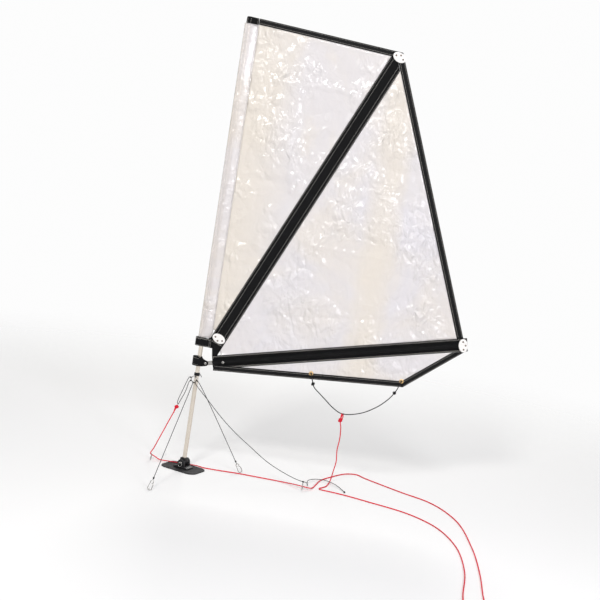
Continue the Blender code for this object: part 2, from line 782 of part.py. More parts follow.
def make_panels():
    head_edge = shifted(HEAD_INNER, -GAP)
    front_low = meet(shifted(SEAM, -GAP), shifted(DIAGONAL_FRONT, GAP))
    tip = front_low + Vector((0, SLEEVE_FRONT))
    seam_x = SEAM_X + GAP
    front_a = (Vector((seam_x, tip.y)), meet(head_edge, line(seam_x, 0, 90.0)))
    front_b = (
        meet(shifted(DIAGONAL_FRONT, GAP), line(0, tip.y, 0)),
        meet(head_edge, shifted(DIAGONAL_FRONT, GAP)),
    )
    cloth("front_panel", front_a, front_b, SEAM_Y, DIAGONAL_Y, CLEAR_FILM)

    edge_a, edge_b = shifted(DIAGONAL_BACK, -GAP), shifted(POCKET_TOP, GAP)
    leech = shifted(LEECH_INNER, -GAP)
    apex = meet(edge_a, edge_b)
    far_a, far_b = meet(edge_a, leech), meet(edge_b, leech)
    start = BOOM_POCKET_WIDTH / (far_b - apex).length / 4
    panel_a = (apex.lerp(far_a, start), far_a)
    panel_b = (apex.lerp(far_b, start), far_b)
    cloth("aft_panel", panel_a, panel_b, DIAGONAL_Y, FLAP_Y, CLEAR_FILM)

    inner_corner = meet(HEAD_INNER, LEECH_INNER)
    outer_start = meet(HEAD, line(SEAM_X + GAP, 0, 90.0))
    inner_start = meet(HEAD_INNER, line(SEAM_X + GAP, 0, 90.0))
    tape("head_binding", outer_start, PEAK, inner_start, inner_corner, SEAM_Y, DIAGONAL_Y, BLACK_WEBBING)

    mitre = (PEAK - inner_corner).normalized()
    miss = Vector((mitre.y, -mitre.x)) * GAP * 1.5
    clew_inner = meet(LEECH_INNER, shifted(POCKET_TOP, GAP))
    clew_outer = meet(LEECH, shifted(POCKET_TOP, GAP))
    ends = (PEAK + miss, clew_outer, inner_corner + miss, clew_inner)
    tape("leech_binding", *ends, DIAGONAL_Y, FLAP_Y, BLACK_WEBBING)


def make_flap():
    """The foot flap under the boom: a clear film with a tape along its two free edges."""
    under = shifted(POCKET_FOOT, -GAP)
    film_a = meet(shifted(FLAP_LOW_INNER, GAP), shifted(under, -GAP))
    film_b = meet(shifted(FLAP_LOW_INNER, GAP), shifted(FLAP_RISE_INNER, GAP))
    film_c = meet(shifted(FLAP_RISE_INNER, GAP), shifted(under, -GAP))
    bm = bmesh.new()
    add_plate(bm, [film_a, film_b, film_c], FLAP_Y - FILM / 2, FLAP_Y + FILM / 2)
    film = finished("flap_film", bm, CLEAR_FILM)

    start = along(shifted(under, 0.0), BOOM_POCKET_START)
    outline = [
        start,
        meet(FLAP_LOW, line(start.x, 0, 90.0)),
        Vector((FLAP_CORNER_X, FLAP_CORNER_Z)),
        meet(FLAP_RISE, under),
        meet(FLAP_RISE_INNER, under),
        meet(FLAP_LOW_INNER, FLAP_RISE_INNER),
        meet(FLAP_LOW_INNER, under),
    ]
    bm = bmesh.new()
    add_plate(bm, outline, FLAP_Y - TAPE / 2, FLAP_Y + TAPE / 2)
    binding = finished("flap_binding", bm, BLACK_WEBBING)

    hole = EYELET_HOLE + EYELET_BARREL + GAP
    for number, spot in enumerate(eyelet_spots()):
        def punch(tool, spot=spot):
            add_rod(tool, at(spot, FLAP_Y - OVERRUN), at(spot, FLAP_Y + OVERRUN), hole, ROUND_SIDES)

        for obj, tag in ((film, "film"), (binding, "tape")):
            cut(obj, f"{tag}_eyelet_hole_{number}", punch)

    half = TAPE / 2 + GAP
    profile = [
        (EYELET_HOLE, -half - EYELET_FLANGE * 0.5),
        (EYELET_HOLE + EYELET_BARREL * 2, -half - EYELET_FLANGE),
        (EYELET_RADIUS, -half - EYELET_FLANGE * 0.4),
        (EYELET_RADIUS, -half),
        (EYELET_HOLE + EYELET_BARREL, -half),
        (EYELET_HOLE + EYELET_BARREL, half),
        (EYELET_RADIUS, half),
        (EYELET_RADIUS, half + EYELET_FLANGE * 0.4),
        (EYELET_HOLE + EYELET_BARREL * 2, half + EYELET_FLANGE),
        (EYELET_HOLE, half + EYELET_FLANGE * 0.5),
    ]
    for name, spot in zip(("front_eyelet", "aft_eyelet"), eyelet_spots()):
        turned(name, profile, at(spot, FLAP_Y), Y_AXIS, BRASS, 16)


def eyelet_spots():
    return [meet(FLAP_LOW_INNER, line(EYELET_X, 0, 90.0)), meet(FLAP_LOW_INNER, FLAP_RISE_INNER)]


# Struts in their pockets


def make_diagonal():
    half_depth = DIAGONAL_POCKET_DEPTH / 2
    inner_half = BATTEN_DEPTH / 2 + BATTEN_ROOM
    slot_half = BATTEN_WIDTH / 2 + BATTEN_ROOM
    bm = bmesh.new()
    section = [
        (-DIAGONAL_POCKET_WIDTH / 2, DIAGONAL_Y + POCKET_EDGE / 2),
        (-slot_half * 1.3, DIAGONAL_Y + half_depth),
        (slot_half * 1.3, DIAGONAL_Y + half_depth),
        (DIAGONAL_POCKET_WIDTH / 2, DIAGONAL_Y + POCKET_EDGE / 2),
        (DIAGONAL_POCKET_WIDTH / 2, DIAGONAL_Y - POCKET_EDGE / 2),
        (slot_half * 1.3, DIAGONAL_Y - half_depth),
        (-slot_half * 1.3, DIAGONAL_Y - half_depth),
        (-DIAGONAL_POCKET_WIDTH / 2, DIAGONAL_Y - POCKET_EDGE / 2),
    ]
    head_edge, leech_edge = shifted(HEAD_INNER, -GAP), shifted(LEECH_INNER, -GAP)

    def far_end(across):
        side = shifted(DIAGONAL, across)
        reaches = [(meet(side, edge) - side[0]).dot(side[1]) for edge in (head_edge, leech_edge)]
        return min(reaches)

    def ring(points, where):
        return [bm.verts.new(at(along(DIAGONAL, where(a), a), y)) for a, y in points]

    low, high = ring(section, lambda a: POCKET_START), ring(section, far_end)
    count = len(section)
    for i in range(count):
        j = (i + 1) % count
        bm.faces.new((low[i], low[j], high[j], high[i]))
    bm.faces.new(low[::-1])
    bm.faces.new(high)
    bmesh.ops.triangulate(bm, faces=[f for f in bm.faces if len(f.verts) > 4])
    pocket = finished("diagonal_pocket", bm, BLACK_WEBBING)
    batten_start, batten_end = POCKET_START + BATTEN_END, DIAGONAL_REACH - BATTEN_END * 2

    def hollow(tool):
        outline = [
            along(DIAGONAL, batten_start - GAP, slot_half),
            along(DIAGONAL, batten_start - GAP, -slot_half),
            along(DIAGONAL, batten_end + GAP, -slot_half),
            along(DIAGONAL, batten_end + GAP, slot_half),
        ]
        add_plate(tool, outline, DIAGONAL_Y - inner_half, DIAGONAL_Y + inner_half)

    def mouth(tool):
        outline = [
            along(DIAGONAL, POCKET_START - OVERRUN, slot_half * 0.8),
            along(DIAGONAL, POCKET_START - OVERRUN, -slot_half * 0.8),
            along(DIAGONAL, batten_start + OVERRUN, -slot_half * 0.8),
            along(DIAGONAL, batten_start + OVERRUN, slot_half * 0.8),
        ]
        add_plate(tool, outline, DIAGONAL_Y - inner_half * 0.8, DIAGONAL_Y + inner_half * 0.8)

    cut(pocket, "batten_room", hollow)
    cut(pocket, "batten_mouth", mouth)
    bm = bmesh.new()
    half = BATTEN_WIDTH / 2
    outline = []
    for end, way in ((batten_end, 1), (batten_start, -1)):
        for i in range(7):
            angle = math.pi / 2 - math.pi * i / 6
            reach = end + way * half * (math.cos(angle) - 1)
            outline.append(along(DIAGONAL, reach, way * half * math.sin(angle)))
    add_plate(bm, outline, DIAGONAL_Y - BATTEN_DEPTH / 2, DIAGONAL_Y + BATTEN_DEPTH / 2)
    finished("diagonal_batten", bm, GLASS_FIBRE)


def make_boom():
    outer = BOOM_RADIUS + GAP + BOOM_POCKET_WALL
    edge = BOOM_POCKET_WIDTH / 2
    section = [(-edge, BOOM_BACK_Y), (edge, BOOM_BACK_Y), (edge, BOOM_BACK_Y - POCKET_EDGE)]
    for i in range(9):
        angle = math.radians(20 + 140 * i / 8)
        section.append((outer * math.cos(angle), BOOM_Y - outer * math.sin(angle)))
    section.append((-edge, BOOM_BACK_Y - POCKET_EDGE))
    bm = bmesh.new()
    low = [bm.verts.new(at(along(BOOM, BOOM_POCKET_START, a), y)) for a, y in section]
    high = [bm.verts.new(at(along(BOOM, BOOM_POCKET_END, a), y)) for a, y in section]
    count = len(section)
    for i in range(count):
        j = (i + 1) % count
        bm.faces.new((low[i], low[j], high[j], high[i]))
    bm.faces.new(low[::-1])
    bm.faces.new(high)
    pocket = finished("boom_pocket", bm, BLACK_WEBBING)
    room = BOOM_RADIUS + GAP

    def hollow(tool):
        low_end, high_end = BOOM_POCKET_START - OVERRUN, BOOM_POCKET_END + OVERRUN
        add_rod(tool, at(along(BOOM, low_end), BOOM_Y), at(along(BOOM, high_end), BOOM_Y), room, ROUND_SIDES)

    cut(pocket, "boom_room", hollow)
    spot = along(BOOM, LOCK_RIVET_REACH)
    rivet_hole = RIVET_SHANK + GAP

    def rivet_bore(tool):
        add_rod(tool, at(spot, BOOM_Y - BOOM_RADIUS * 2), at(spot, BOOM_Y + BOOM_RADIUS * 2), rivet_hole)

    cut(pocket, "pocket_rivet_hole", rivet_bore)

    tube_end = BOOM_POCKET_END - BOOM_PLUG
    start, way = at(along(BOOM, BOOM_TUBE_START), BOOM_Y), at(BOOM[1], 0.0)
    length = tube_end - BOOM_TUBE_START
    inner = BOOM_RADIUS - BOOM_WALL
    tube = turned("boom_tube", sleeve_profile(inner, BOOM_RADIUS, 0.0, length), start, way, ALUMINIUM)
    cut(tube, "tube_rivet_hole", rivet_bore)
    plug = [
        (0, -BOOM_PLUG),
        (inner - GAP, -BOOM_PLUG),
        (inner - GAP, GAP),
        (BOOM_RADIUS, GAP),
        (BOOM_RADIUS, BOOM_PLUG * 0.5),
        (BOOM_RADIUS * 0.6, BOOM_PLUG - GAP),
        (0, BOOM_PLUG - GAP),
    ]
    turned("boom_end_cap", plug, at(along(BOOM, tube_end), BOOM_Y), way, BLACK_PLASTIC)

    bm = bmesh.new()
    half, neck = TONGUE_WIDTH / 2, TONGUE_NECK / 2
    shoulder = BOOM_POCKET_START - GAP
    outline = [along(BOOM, half * math.cos(a), half * math.sin(a)) for a in
               [math.radians(90 + 180 * i / 8) for i in range(9)]]
    outline += [along(BOOM, shoulder, -half), along(BOOM, shoulder, -neck)]
    outline += [along(BOOM, TONGUE_REACH, -neck), along(BOOM, TONGUE_REACH, neck)]
    outline += [along(BOOM, shoulder, neck), along(BOOM, shoulder, half)]
    add_plate(bm, outline, BOOM_Y - TONGUE_THICKNESS / 2, BOOM_Y + TONGUE_THICKNESS / 2)
    tongue = finished("boom_tongue", bm, STEEL)
    cut(tongue, "tongue_lock_hole", rivet_bore)
    pivot = Vector((PIVOT_X, PIVOT_Z))

    def pivot_bore(tool):
        add_rod(tool, at(pivot, BOOM_Y - BOOM_RADIUS), at(pivot, BOOM_Y + BOOM_RADIUS), rivet_hole)

    cut(tongue, "tongue_pivot_hole", pivot_bore)
    base = at(spot, BOOM_Y + inner - GAP * 2)
    profile = rivet_profile(RIVET_SHANK, RIVET_HEAD, RIVET_CROWN, base.y - BOOM_NEAR_Y + GAP)
    turned("boom_lock_rivet", profile, base, NEAR, STEEL, SMALL_SIDES)


# Straps that hold the sail's corner to the mast


def arc_points(radius, start_deg, end_deg, steps):
    angles = [math.radians(start_deg + (end_deg - start_deg) * i / steps) for i in range(steps + 1)]
    return [Vector((radius * math.cos(a), radius * math.sin(a))) for a in angles]


def make_straps():
    bend = MAST_RADIUS + GAP + STRAP_THICKNESS / 2
    leaf = TONGUE_THICKNESS / 2 + GAP + STRAP_THICKNESS / 2
    eye_shares = (1.0, 0.85, 0.5)
    eye_halves = [STRAP_EYE_RADIUS * h for h in (0.25, 0.55, 0.87)]
    eye = [PIVOT_X + STRAP_EYE_RADIUS * share for share in eye_shares]
    near_y, far_y = BOOM_Y - leaf, BOOM_Y + leaf
    near_leaf = [Vector((x, near_y)) for x in (*eye, PIVOT_X, PIVOT_X - TONGUE_WIDTH / 2 - STRAP_THICKNESS)]
    slack = [
        Vector((PIVOT_X * 0.25, near_y * 0.82)),
        Vector((-STRAP_SLACK * 0.15, near_y * 0.64)),
        Vector((-STRAP_SLACK * 0.62, near_y * 0.42)),
        Vector((-STRAP_SLACK * 0.92, near_y * 0.20)),
        Vector((-STRAP_SLACK, 0.0)),
        Vector((-STRAP_SLACK * 0.85, bend * 0.55)),
        Vector((-STRAP_SLACK * 0.45, bend * 0.95)),
    ]
    wrap = arc_points(bend, 90, 0, 6)
    far_leaf = [
        Vector((bend * 1.05, -bend * 0.5)),
        Vector((PIVOT_X * 0.50, far_y * 0.62)),
        Vector((PIVOT_X - RIVET_HEAD - STRAP_THICKNESS, far_y)),
    ]
    far_leaf += [Vector((x, far_y)) for x in (PIVOT_X, *reversed(eye))]
    half = BOOM_STRAP_HEIGHT / 2
    halves = [*eye_halves, STRAP_EYE_RADIUS, half * 0.75, half * 0.88, half * 0.97]
    halves += [half] * (len(slack) - 2 + len(wrap) + 1)
    halves += [half * 0.90, half * 0.75, STRAP_EYE_RADIUS, *reversed(eye_halves)]
    obj = strap("boom_strap", near_leaf + slack + wrap + far_leaf, halves, PIVOT_Z, BLACK_WEBBING)
    pivot = Vector((PIVOT_X, PIVOT_Z))
    hole = RIVET_SHANK + GAP
    cut(
        obj,
        "strap_rivet_hole",
        lambda tool: add_rod(tool, at(pivot, BOOM_Y - BOOM_RADIUS), at(pivot, BOOM_Y + BOOM_RADIUS), hole),
    )
    grip = 2 * (leaf + STRAP_THICKNESS / 2 + GAP)
    turned(
        "pivot_rivet",
        two_headed_profile(RIVET_SHANK, RIVET_HEAD, RIVET_CROWN, grip),
        at(pivot, BOOM_Y + grip / 2),
        NEAR,
        STEEL,
        SMALL_SIDES,
    )

    sewn = PATCH_CLOTH / 2 + GAP + STRAP_THICKNESS / 2
    near_y, far_y = DIAGONAL_Y - sewn, DIAGONAL_Y + sewn
    path = [
        Vector((TACK_STRAP_TAIL, near_y)),
        Vector((PATCH_FRONT - STRAP_THICKNESS, near_y)),
        Vector((PATCH_FRONT * 0.35, near_y * 0.92)),
        Vector((-STRAP_SLACK * 0.45, near_y * 0.68)),
        Vector((-STRAP_SLACK * 0.88, near_y * 0.38)),
        Vector((-STRAP_SLACK, 0.0)),
        Vector((-STRAP_SLACK * 0.85, bend * 0.55)),
        Vector((-STRAP_SLACK * 0.45, bend * 0.95)),
        *arc_points(bend, 90, -12, 7),
        Vector((PATCH_FRONT * 0.66, far_y * 0.75)),
        Vector((PATCH_FRONT - STRAP_THICKNESS, far_y)),
        Vector((TACK_STRAP_TAIL, far_y)),
    ]
    strap("tack_strap", path, [TACK_STRAP_HEIGHT / 2] * len(path), TACK_STRAP_Z, BLACK_WEBBING)


def make_tack_patch():
    """The sewn corner that joins the foot of the diagonal pocket to the start of the boom pocket."""
    bm = bmesh.new()
    top_front = along(DIAGONAL, POCKET_START - GAP, DIAGONAL_POCKET_WIDTH / 2)
    top_back = along(DIAGONAL, POCKET_START - GAP, -DIAGONAL_POCKET_WIDTH / 2)
    low_back = meet(DIAGONAL_BACK, shifted(POCKET_TOP, GAP))
    low_front = along(shifted(POCKET_TOP, GAP), BOOM_POCKET_START)
    strap_foot = Vector((PATCH_FRONT, TACK_STRAP_Z - TACK_STRAP_HEIGHT / 2))
    fold_z = strap_foot.y - STRAP_THICKNESS
    flat = [
        Vector((PATCH_FRONT, TACK_STRAP_Z + TACK_STRAP_HEIGHT / 2)),
        strap_foot,
        Vector((low_front.x - STRAP_THICKNESS * 2, fold_z)),
        meet(line_through(low_back, top_back), line(0, fold_z, 0)),
        top_back,
        top_front,
    ]
    low = [low_front, low_back]
    half = PATCH_CLOTH / 2
    faces = []
    for side in (-half, half):
        upper = [bm.verts.new(at(p, DIAGONAL_Y + side)) for p in flat]
        lower = [bm.verts.new(at(p, FLAP_Y + side)) for p in low]
        bm.faces.new(upper)
        bm.faces.new((upper[2], *lower, upper[3]))
        faces.append([*upper[:3], *lower, *upper[3:]])
    front, back = faces
    for i in range(len(front)):
        j = (i + 1) % len(front)
        bm.faces.new((front[i], back[i], back[j], front[j]))
    finished("tack_patch", bm, BLACK_WEBBING)


# Corner plates with their rivets


def make_corner_plate(name, centre, out_way, back_y):
    """An oval plate across a strut's end: two rivets on its long axis and one on its outer side."""
    out = Vector(out_way)
    across = Vector((-out.y, out.x))
    bm = bmesh.new()
    steps = 24
    outline = []
    for i in range(steps):
        angle = math.tau * i / steps
        outline.append(
            centre + across * PLATE_LENGTH / 2 * math.cos(angle) + out * PLATE_WIDTH / 2 * math.sin(angle)
        )
    add_plate(bm, outline, back_y - PLATE_THICKNESS, back_y)
    rim = [e for e in bm.edges if all(abs(v.co.y - (back_y - PLATE_THICKNESS)) < GAP / 10 for v in e.verts)]
    bmesh.ops.bevel(
        bm, geom=rim, offset=PLATE_THICKNESS * 0.45, segments=1, profile=0.5, affect="EDGES", material=-1
    )
    plate = finished(f"{name}_plate", bm, PLATE_WHITE)
    spots = [
        centre + across * PLATE_RIVET_SPREAD,
        centre - across * PLATE_RIVET_SPREAD,
        centre + out * PLATE_RIVET_OUT,
    ]
    hole = SMALL_RIVET_SHANK + GAP

    def punch(tool):
        for p in spots:
            add_rod(tool, at(p, back_y - PLATE_THICKNESS - OVERRUN), at(p, back_y + OVERRUN), hole, 10)

    cut(plate, f"{name}_plate_holes", punch)
    profile = rivet_profile(SMALL_RIVET_SHANK, SMALL_RIVET_HEAD, SMALL_RIVET_CROWN, PLATE_THICKNESS + GAP)
    for number, p in enumerate(spots, start=1):
        turned(f"{name}_rivet_{number}", profile, at(p, back_y), NEAR, STEEL, 10)


def make_corner_plates():
    make_corner_plate("tack", along(DIAGONAL, 0.0), -DIAGONAL[1], PLATE_BACK_Y)
    make_corner_plate("peak", along(DIAGONAL, DIAGONAL_REACH), DIAGONAL[1], PLATE_BACK_Y)
    make_corner_plate("clew", along(BOOM, BOOM_REACH), BOOM[1], BOOM_NEAR_Y - GAP)


# Snap hooks and rings on the deck


def hook_frame(x, y):
    """A frame whose Z runs up the hook towards the stay ring and whose Y is its flat side's normal."""
    foot = Vector((x, y, 0))
    up = (ring_centre() - foot).normalized()
    across = up.cross(Y_AXIS).normalized()
    turn = Matrix((across, up.cross(across), up)).transposed()
    reach = HOOK_HALF_WIDTH * math.sqrt(1 - turn.col[1].z ** 2) + HOOK_WIRE
    return Matrix.Translation(foot + Z_AXIS * reach) @ turn.to_4x4()


EYE_UP = HOOK_LENGTH - HOOK_HALF_WIDTH - HOOK_WIRE - HOOK_EYE_RADIUS


def hook_points():
    """The wire of the hook round its eye, down its back and round its bend to the tip, as (across, up)."""
    points = []
    for i in range(13):
        angle = math.radians(-60 + 300 * i / 12)
        points.append((HOOK_EYE_RADIUS * math.cos(angle), EYE_UP + HOOK_EYE_RADIUS * math.sin(angle)))
    points.append((-HOOK_HALF_WIDTH, EYE_UP - HOOK_EYE_RADIUS * 2.0))
    for i in range(9):
        angle = math.radians(180 + 180 * i / 8)
        points.append((HOOK_HALF_WIDTH * math.cos(angle), HOOK_HALF_WIDTH * math.sin(angle)))
    points.append((HOOK_HALF_WIDTH, HOOK_WIRE * 2))
    return points


def gate_ends():
    """The gate's free end at the hook's tip and its hinge end beside the eye, as (across, up)."""
    eye_start, eye_up = hook_points()[0]
    hinge = (eye_start + HOOK_WIRE + GATE_RADIUS + GAP, eye_up)
    return (HOOK_HALF_WIDTH, HOOK_WIRE * 2 + GAP + GATE_RADIUS / 2), hinge


def make_snap_hook(name, place):
    route = [place @ Vector((a, 0, u)) for a, u in hook_points()]
    cord(f"{name}_hook", route, HOOK_WIRE, STEEL, 1)
    tip, hinge = [place @ Vector((a, 0, u)) for a, u in gate_ends()]
    bm = bmesh.new()
    run = tip - hinge
    add_rod(bm, run, run.normalized() * GATE_END_ROOM, GATE_RADIUS, 8)
    gate = finished(f"{name}_hook_gate", bm, STEEL)
    gate.location = hinge
    axis = place.to_3x3() @ Y_AXIS
    print(f"{name} gate hinge", [round(c, 5) for c in hinge], "axis", [round(c, 5) for c in axis])


def make_deck_hardware():
    make_snap_hook("near", hook_frame(NEAR_HOOK_X, NEAR_HOOK_Y))
    make_snap_hook("far", hook_frame(FAR_HOOK_X, FAR_HOOK_Y))
    for name, x, y, way in (
        ("deck_ring", DECK_RING_X, DECK_RING_Y, X_AXIS),
        ("bow_ring", BOW_RING_X, BOW_RING_Y, X_AXIS),
    ):
        bm = bmesh.new()
        ring_in(bm, (x, y, DECK_RING_RADIUS + DECK_RING_WIRE), way, DECK_RING_RADIUS, DECK_RING_WIRE)
        finished(name, bm, STEEL)


# Cords


def knotted_cord(name, route, radius, finish, knots=(), doubled=0):
    """A cord along a smooth route, with a knot at each of the route's points that knots lists.

    It is as thick as a doubled cord as far as the route's point number doubled. Its points are close
    together in bends and round knots, and further apart where it runs straight.
    """
    fine, marks = smooth_route(route, radius)
    reach = radius * KNOT_HALF_LENGTH_SHARE
    places = [fine[marks[i]] for i in knots]

    def thickness(i):
        near = min([(fine[i] - k).length for k in places], default=reach)
        knot = 1 + (KNOT_SHARE - 1) * math.sqrt(max(0.0, 1 - (near / reach) ** 2))
        return max(knot, LOOP_SHARE) if i < marks[doubled] else knot

    kept = [0]
    for i in range(1, len(fine) - 1):
        run = fine[i] - fine[kept[-1]]
        bend = run.angle(fine[i + 1] - fine[i])
        swell = abs(thickness(i + 1) - thickness(kept[-1]))
        if swell > SWELL_STEP or bend > BEND_STEP or run.length > LONGEST_STEP:
            kept.append(i)
    kept.append(len(fine) - 1)
    obj = cord(name, [fine[i] for i in kept], radius, finish)
    for spot, i in zip(obj.data.splines[0].points, kept):
        spot.radius = thickness(i)


def ring_side(degrees):
    """The point on the stay ring's outside, at an angle round it, where a stay starts."""
    angle = math.radians(degrees)
    way = Vector((math.cos(angle), 0, math.sin(angle)))
    reach = STAY_RING_RADIUS + STAY_RING_WIRE + GAP
    return ring_centre() + way * reach, ring_centre() + way * (reach + 4 * STAY_RADIUS)


def make_stays():
    for name, x, y, degrees in (
        ("near", NEAR_HOOK_X, NEAR_HOOK_Y, 262),
        ("far", FAR_HOOK_X, FAR_HOOK_Y, -22),
    ):
        place = hook_frame(x, y)
        top = HOOK_LENGTH - HOOK_HALF_WIDTH + GAP
        end, before = place @ Vector((0, 0, top)), place @ Vector((0, 0, top + 8 * STAY_RADIUS))
        start, after = ring_side(degrees)
        knotted_cord(f"{name}_shroud", [start, after, before, end], STAY_RADIUS, DARK_CORD, (0, 2))

    start, after = ring_side(-65)
    backstay = [
        start,
        after,
        (0.0560, -0.0170, 0.2750),
        (0.1200, -0.0200, 0.2140),
        (0.1770, -0.0230, 0.1680),
        (0.2340, -0.0270, 0.1290),
        (0.3100, -0.0330, 0.0800),
        (0.3830, -0.0400, 0.0480),
        (0.4300, -0.0460, 0.0340),
        (0.4520, -0.0480, 0.0305),
        (0.4650, -0.0430, 0.0275),
        (0.4720, -0.0200, 0.0110),
        (0.4720, 0.0150, 0.0060),
        (0.4760, 0.0600, 0.0075),
        (0.5020, 0.0900, 0.0080),
        (0.5400, 0.0950, 0.0080),
        (0.5780, 0.0620, 0.0078),
        (0.6050, 0.0200, 0.0030),
        (0.6140, -0.0080, 0.0030),
    ]
    knotted_cord("backstay", backstay, STAY_RADIUS, DARK_CORD, (0, 9, 18))

    low, low_after = ring_side(212)
    high, high_after = ring_side(158)
    forestay = [
        low,
        low_after,
        (-0.0330, -0.0020, 0.2930),
        (-0.0510, 0.0190, 0.2430),
        (-0.0548, 0.0243, 0.2330),
        (-0.0578, 0.0212, 0.2400),
        (-0.0430, -0.0030, 0.2990),
        high_after,
        high,
    ]
    knotted_cord("forestay", forestay, STAY_RADIUS, DARK_CORD, (0, 8))


def make_hoist_line():
    riser = [
        (-0.0555, 0.0245, 0.2309),
        (-0.0582, 0.0252, 0.2240),
        (-0.0760, 0.0302, 0.1760),
        (-0.0980, 0.0370, 0.1150),
        (-0.1180, 0.0430, 0.0600),
        (-0.1216, 0.0441, 0.0500),
    ]
    knotted_cord("hoist_riser", riser, LINE_RADIUS, RED_CORD, (1,))
    line_route = [
        (-0.1217, 0.0441, 0.0497),
        (-0.1246, 0.0448, 0.0430),
        (-0.1285, 0.0456, 0.0350),
        (-0.1314, 0.0460, 0.0302),
        (-0.1326, 0.0460, 0.0262),
        (-0.1304, 0.0460, 0.0222),
        (-0.1245, 0.0460, 0.0198),
        (-0.1130, 0.0456, 0.0150),
        (-0.0970, 0.0448, 0.0070),
        (-0.0780, 0.0445, 0.0057),
        (-0.0400, 0.0444, 0.0056),
        (0.0130, 0.0430, 0.0056),
        (0.0470, 0.0400, 0.0056),
        (0.0750, 0.0370, 0.0025),
        (0.1120, 0.0340, 0.0021),
        (0.2130, 0.0310, 0.0021),
        (0.2920, 0.0210, 0.0021),
        (0.3800, 0.0060, 0.0025),
        (0.4230, -0.0260, 0.0090),
        (0.4520, -0.0480, 0.0125),
        (0.4780, -0.0420, 0.0080),
        (0.4930, -0.0100, 0.0025),
        (0.5080, 0.0450, 0.0021),
        (0.5270, 0.1080, 0.0021),
        (0.5700, 0.1770, 0.0021),
        (0.6330, 0.2540, 0.0021),
        (0.6750, 0.2660, 0.0021),
        (0.7080, 0.2290, 0.0021),
        (0.8380, 0.1120, 0.0021),
        (0.9460, 0.0230, 0.0021),
        (1.0190, -0.1490, 0.0021),
        (1.0370, -0.4470, 0.0021),
        (1.0240, -0.7110, 0.0021),
        (1.0040, -0.9000, 0.0021),
        (1.0000, -0.9620, 0.0021),
        (1.0000, -0.9840, 0.0021),
    ]
    knotted_cord("hoist_line", line_route, LINE_RADIUS, RED_CORD)
    make_coil("hoist_coil", Vector(line_route[-1]) - Y_AXIS * GAP, 1)


def make_bridle():
    (front_x, front_z), (aft_x, aft_z) = eyelet_spots()
    clear = FLAP_Y - TAPE / 2 - GAP - EYELET_FLANGE - GAP - BRIDLE_RADIUS
    behind = FLAP_Y + TAPE / 2 + GAP + EYELET_FLANGE + GAP
    knot = BRIDLE_RADIUS * KNOT_HALF_LENGTH_SHARE
    route = [
        (front_x, behind + knot, front_z),
        (front_x, behind + knot * 0.7, front_z),
        (front_x, FLAP_Y, front_z),
        (front_x + 0.0008, clear - BRIDLE_RADIUS, front_z - 0.0030),
        (front_x + 0.0035, clear - BRIDLE_RADIUS, front_z - 0.0150),
        (0.4270, FLAP_Y - 0.0040, 0.4110),
        (0.4310, FLAP_Y - 0.0010, 0.3990),
        (0.4370, FLAP_Y, 0.3865),
        (0.4610, FLAP_Y, 0.3660),
        (0.4870, FLAP_Y, 0.3450),
        (0.5160, FLAP_Y, 0.3220),
        (0.5440, FLAP_Y, 0.3060),
        (0.5600, FLAP_Y, 0.3030),
        (0.5810, FLAP_Y, 0.3040),
        (0.6100, FLAP_Y, 0.3110),
        (0.6360, FLAP_Y, 0.3210),
        (0.6620, FLAP_Y, 0.3360),
        (0.6880, FLAP_Y, 0.3550),
        (0.7090, FLAP_Y, 0.3750),
        (0.7240, FLAP_Y, 0.3930),
        (0.7350, FLAP_Y - 0.0020, 0.4110),
        (0.7430, FLAP_Y - 0.0050, 0.4290),
        (aft_x - 0.0060, clear - BRIDLE_RADIUS, aft_z - 0.0140),
        (aft_x - 0.0012, clear - BRIDLE_RADIUS, aft_z - 0.0028),
        (aft_x, FLAP_Y, aft_z),
        (aft_x, behind + knot * 0.7, aft_z),
        (aft_x, behind + knot, aft_z),
    ]
    knotted_cord("bridle", route, BRIDLE_RADIUS, DARK_CORD, (1, 6, 20, 25))


def make_sheet():
    hang = [
        (0.5575, FLAP_Y, 0.3008),
        (0.5560, FLAP_Y, 0.2920),
        (0.5535, FLAP_Y, 0.2790),
        (0.5550, FLAP_Y + 0.0020, 0.2680),
        (0.5610, -0.0060, 0.2450),
        (0.5660, 0.0200, 0.1970),
        (0.5650, 0.0450, 0.1460),
        (0.5710, 0.0730, 0.0940),
        (0.5680, 0.0980, 0.0470),
        (0.5660, 0.1080, 0.0220),
        (0.5630, 0.1040, 0.0080),
        (0.5580, 0.0860, 0.0023),
        (0.5460, 0.0380, 0.0021),
        (0.5310, 0.0120, 0.0021),
        (0.5190, -0.0040, 0.0021),
        (0.5195, -0.0155, 0.0021),
        (0.5320, -0.0220, 0.0021),
        (0.5620, -0.0290, 0.0021),
        (0.6100, -0.0440, 0.0021),
        (0.7000, -0.0850, 0.0021),
        (0.8400, -0.1600, 0.0021),
        (0.9300, -0.2700, 0.0021),
        (0.9780, -0.4500, 0.0021),
        (0.9750, -0.7000, 0.0021),
        (0.9370, -0.9300, 0.0021),
        (0.9300, -1.0050, 0.0021),
        (0.9300, -1.0290, 0.0021),
    ]
    knotted_cord("sheet_line", hang, LINE_RADIUS, RED_CORD, (2,), 2)
    make_coil("sheet_coil", Vector(hang[-1]) - Y_AXIS * GAP, -1)


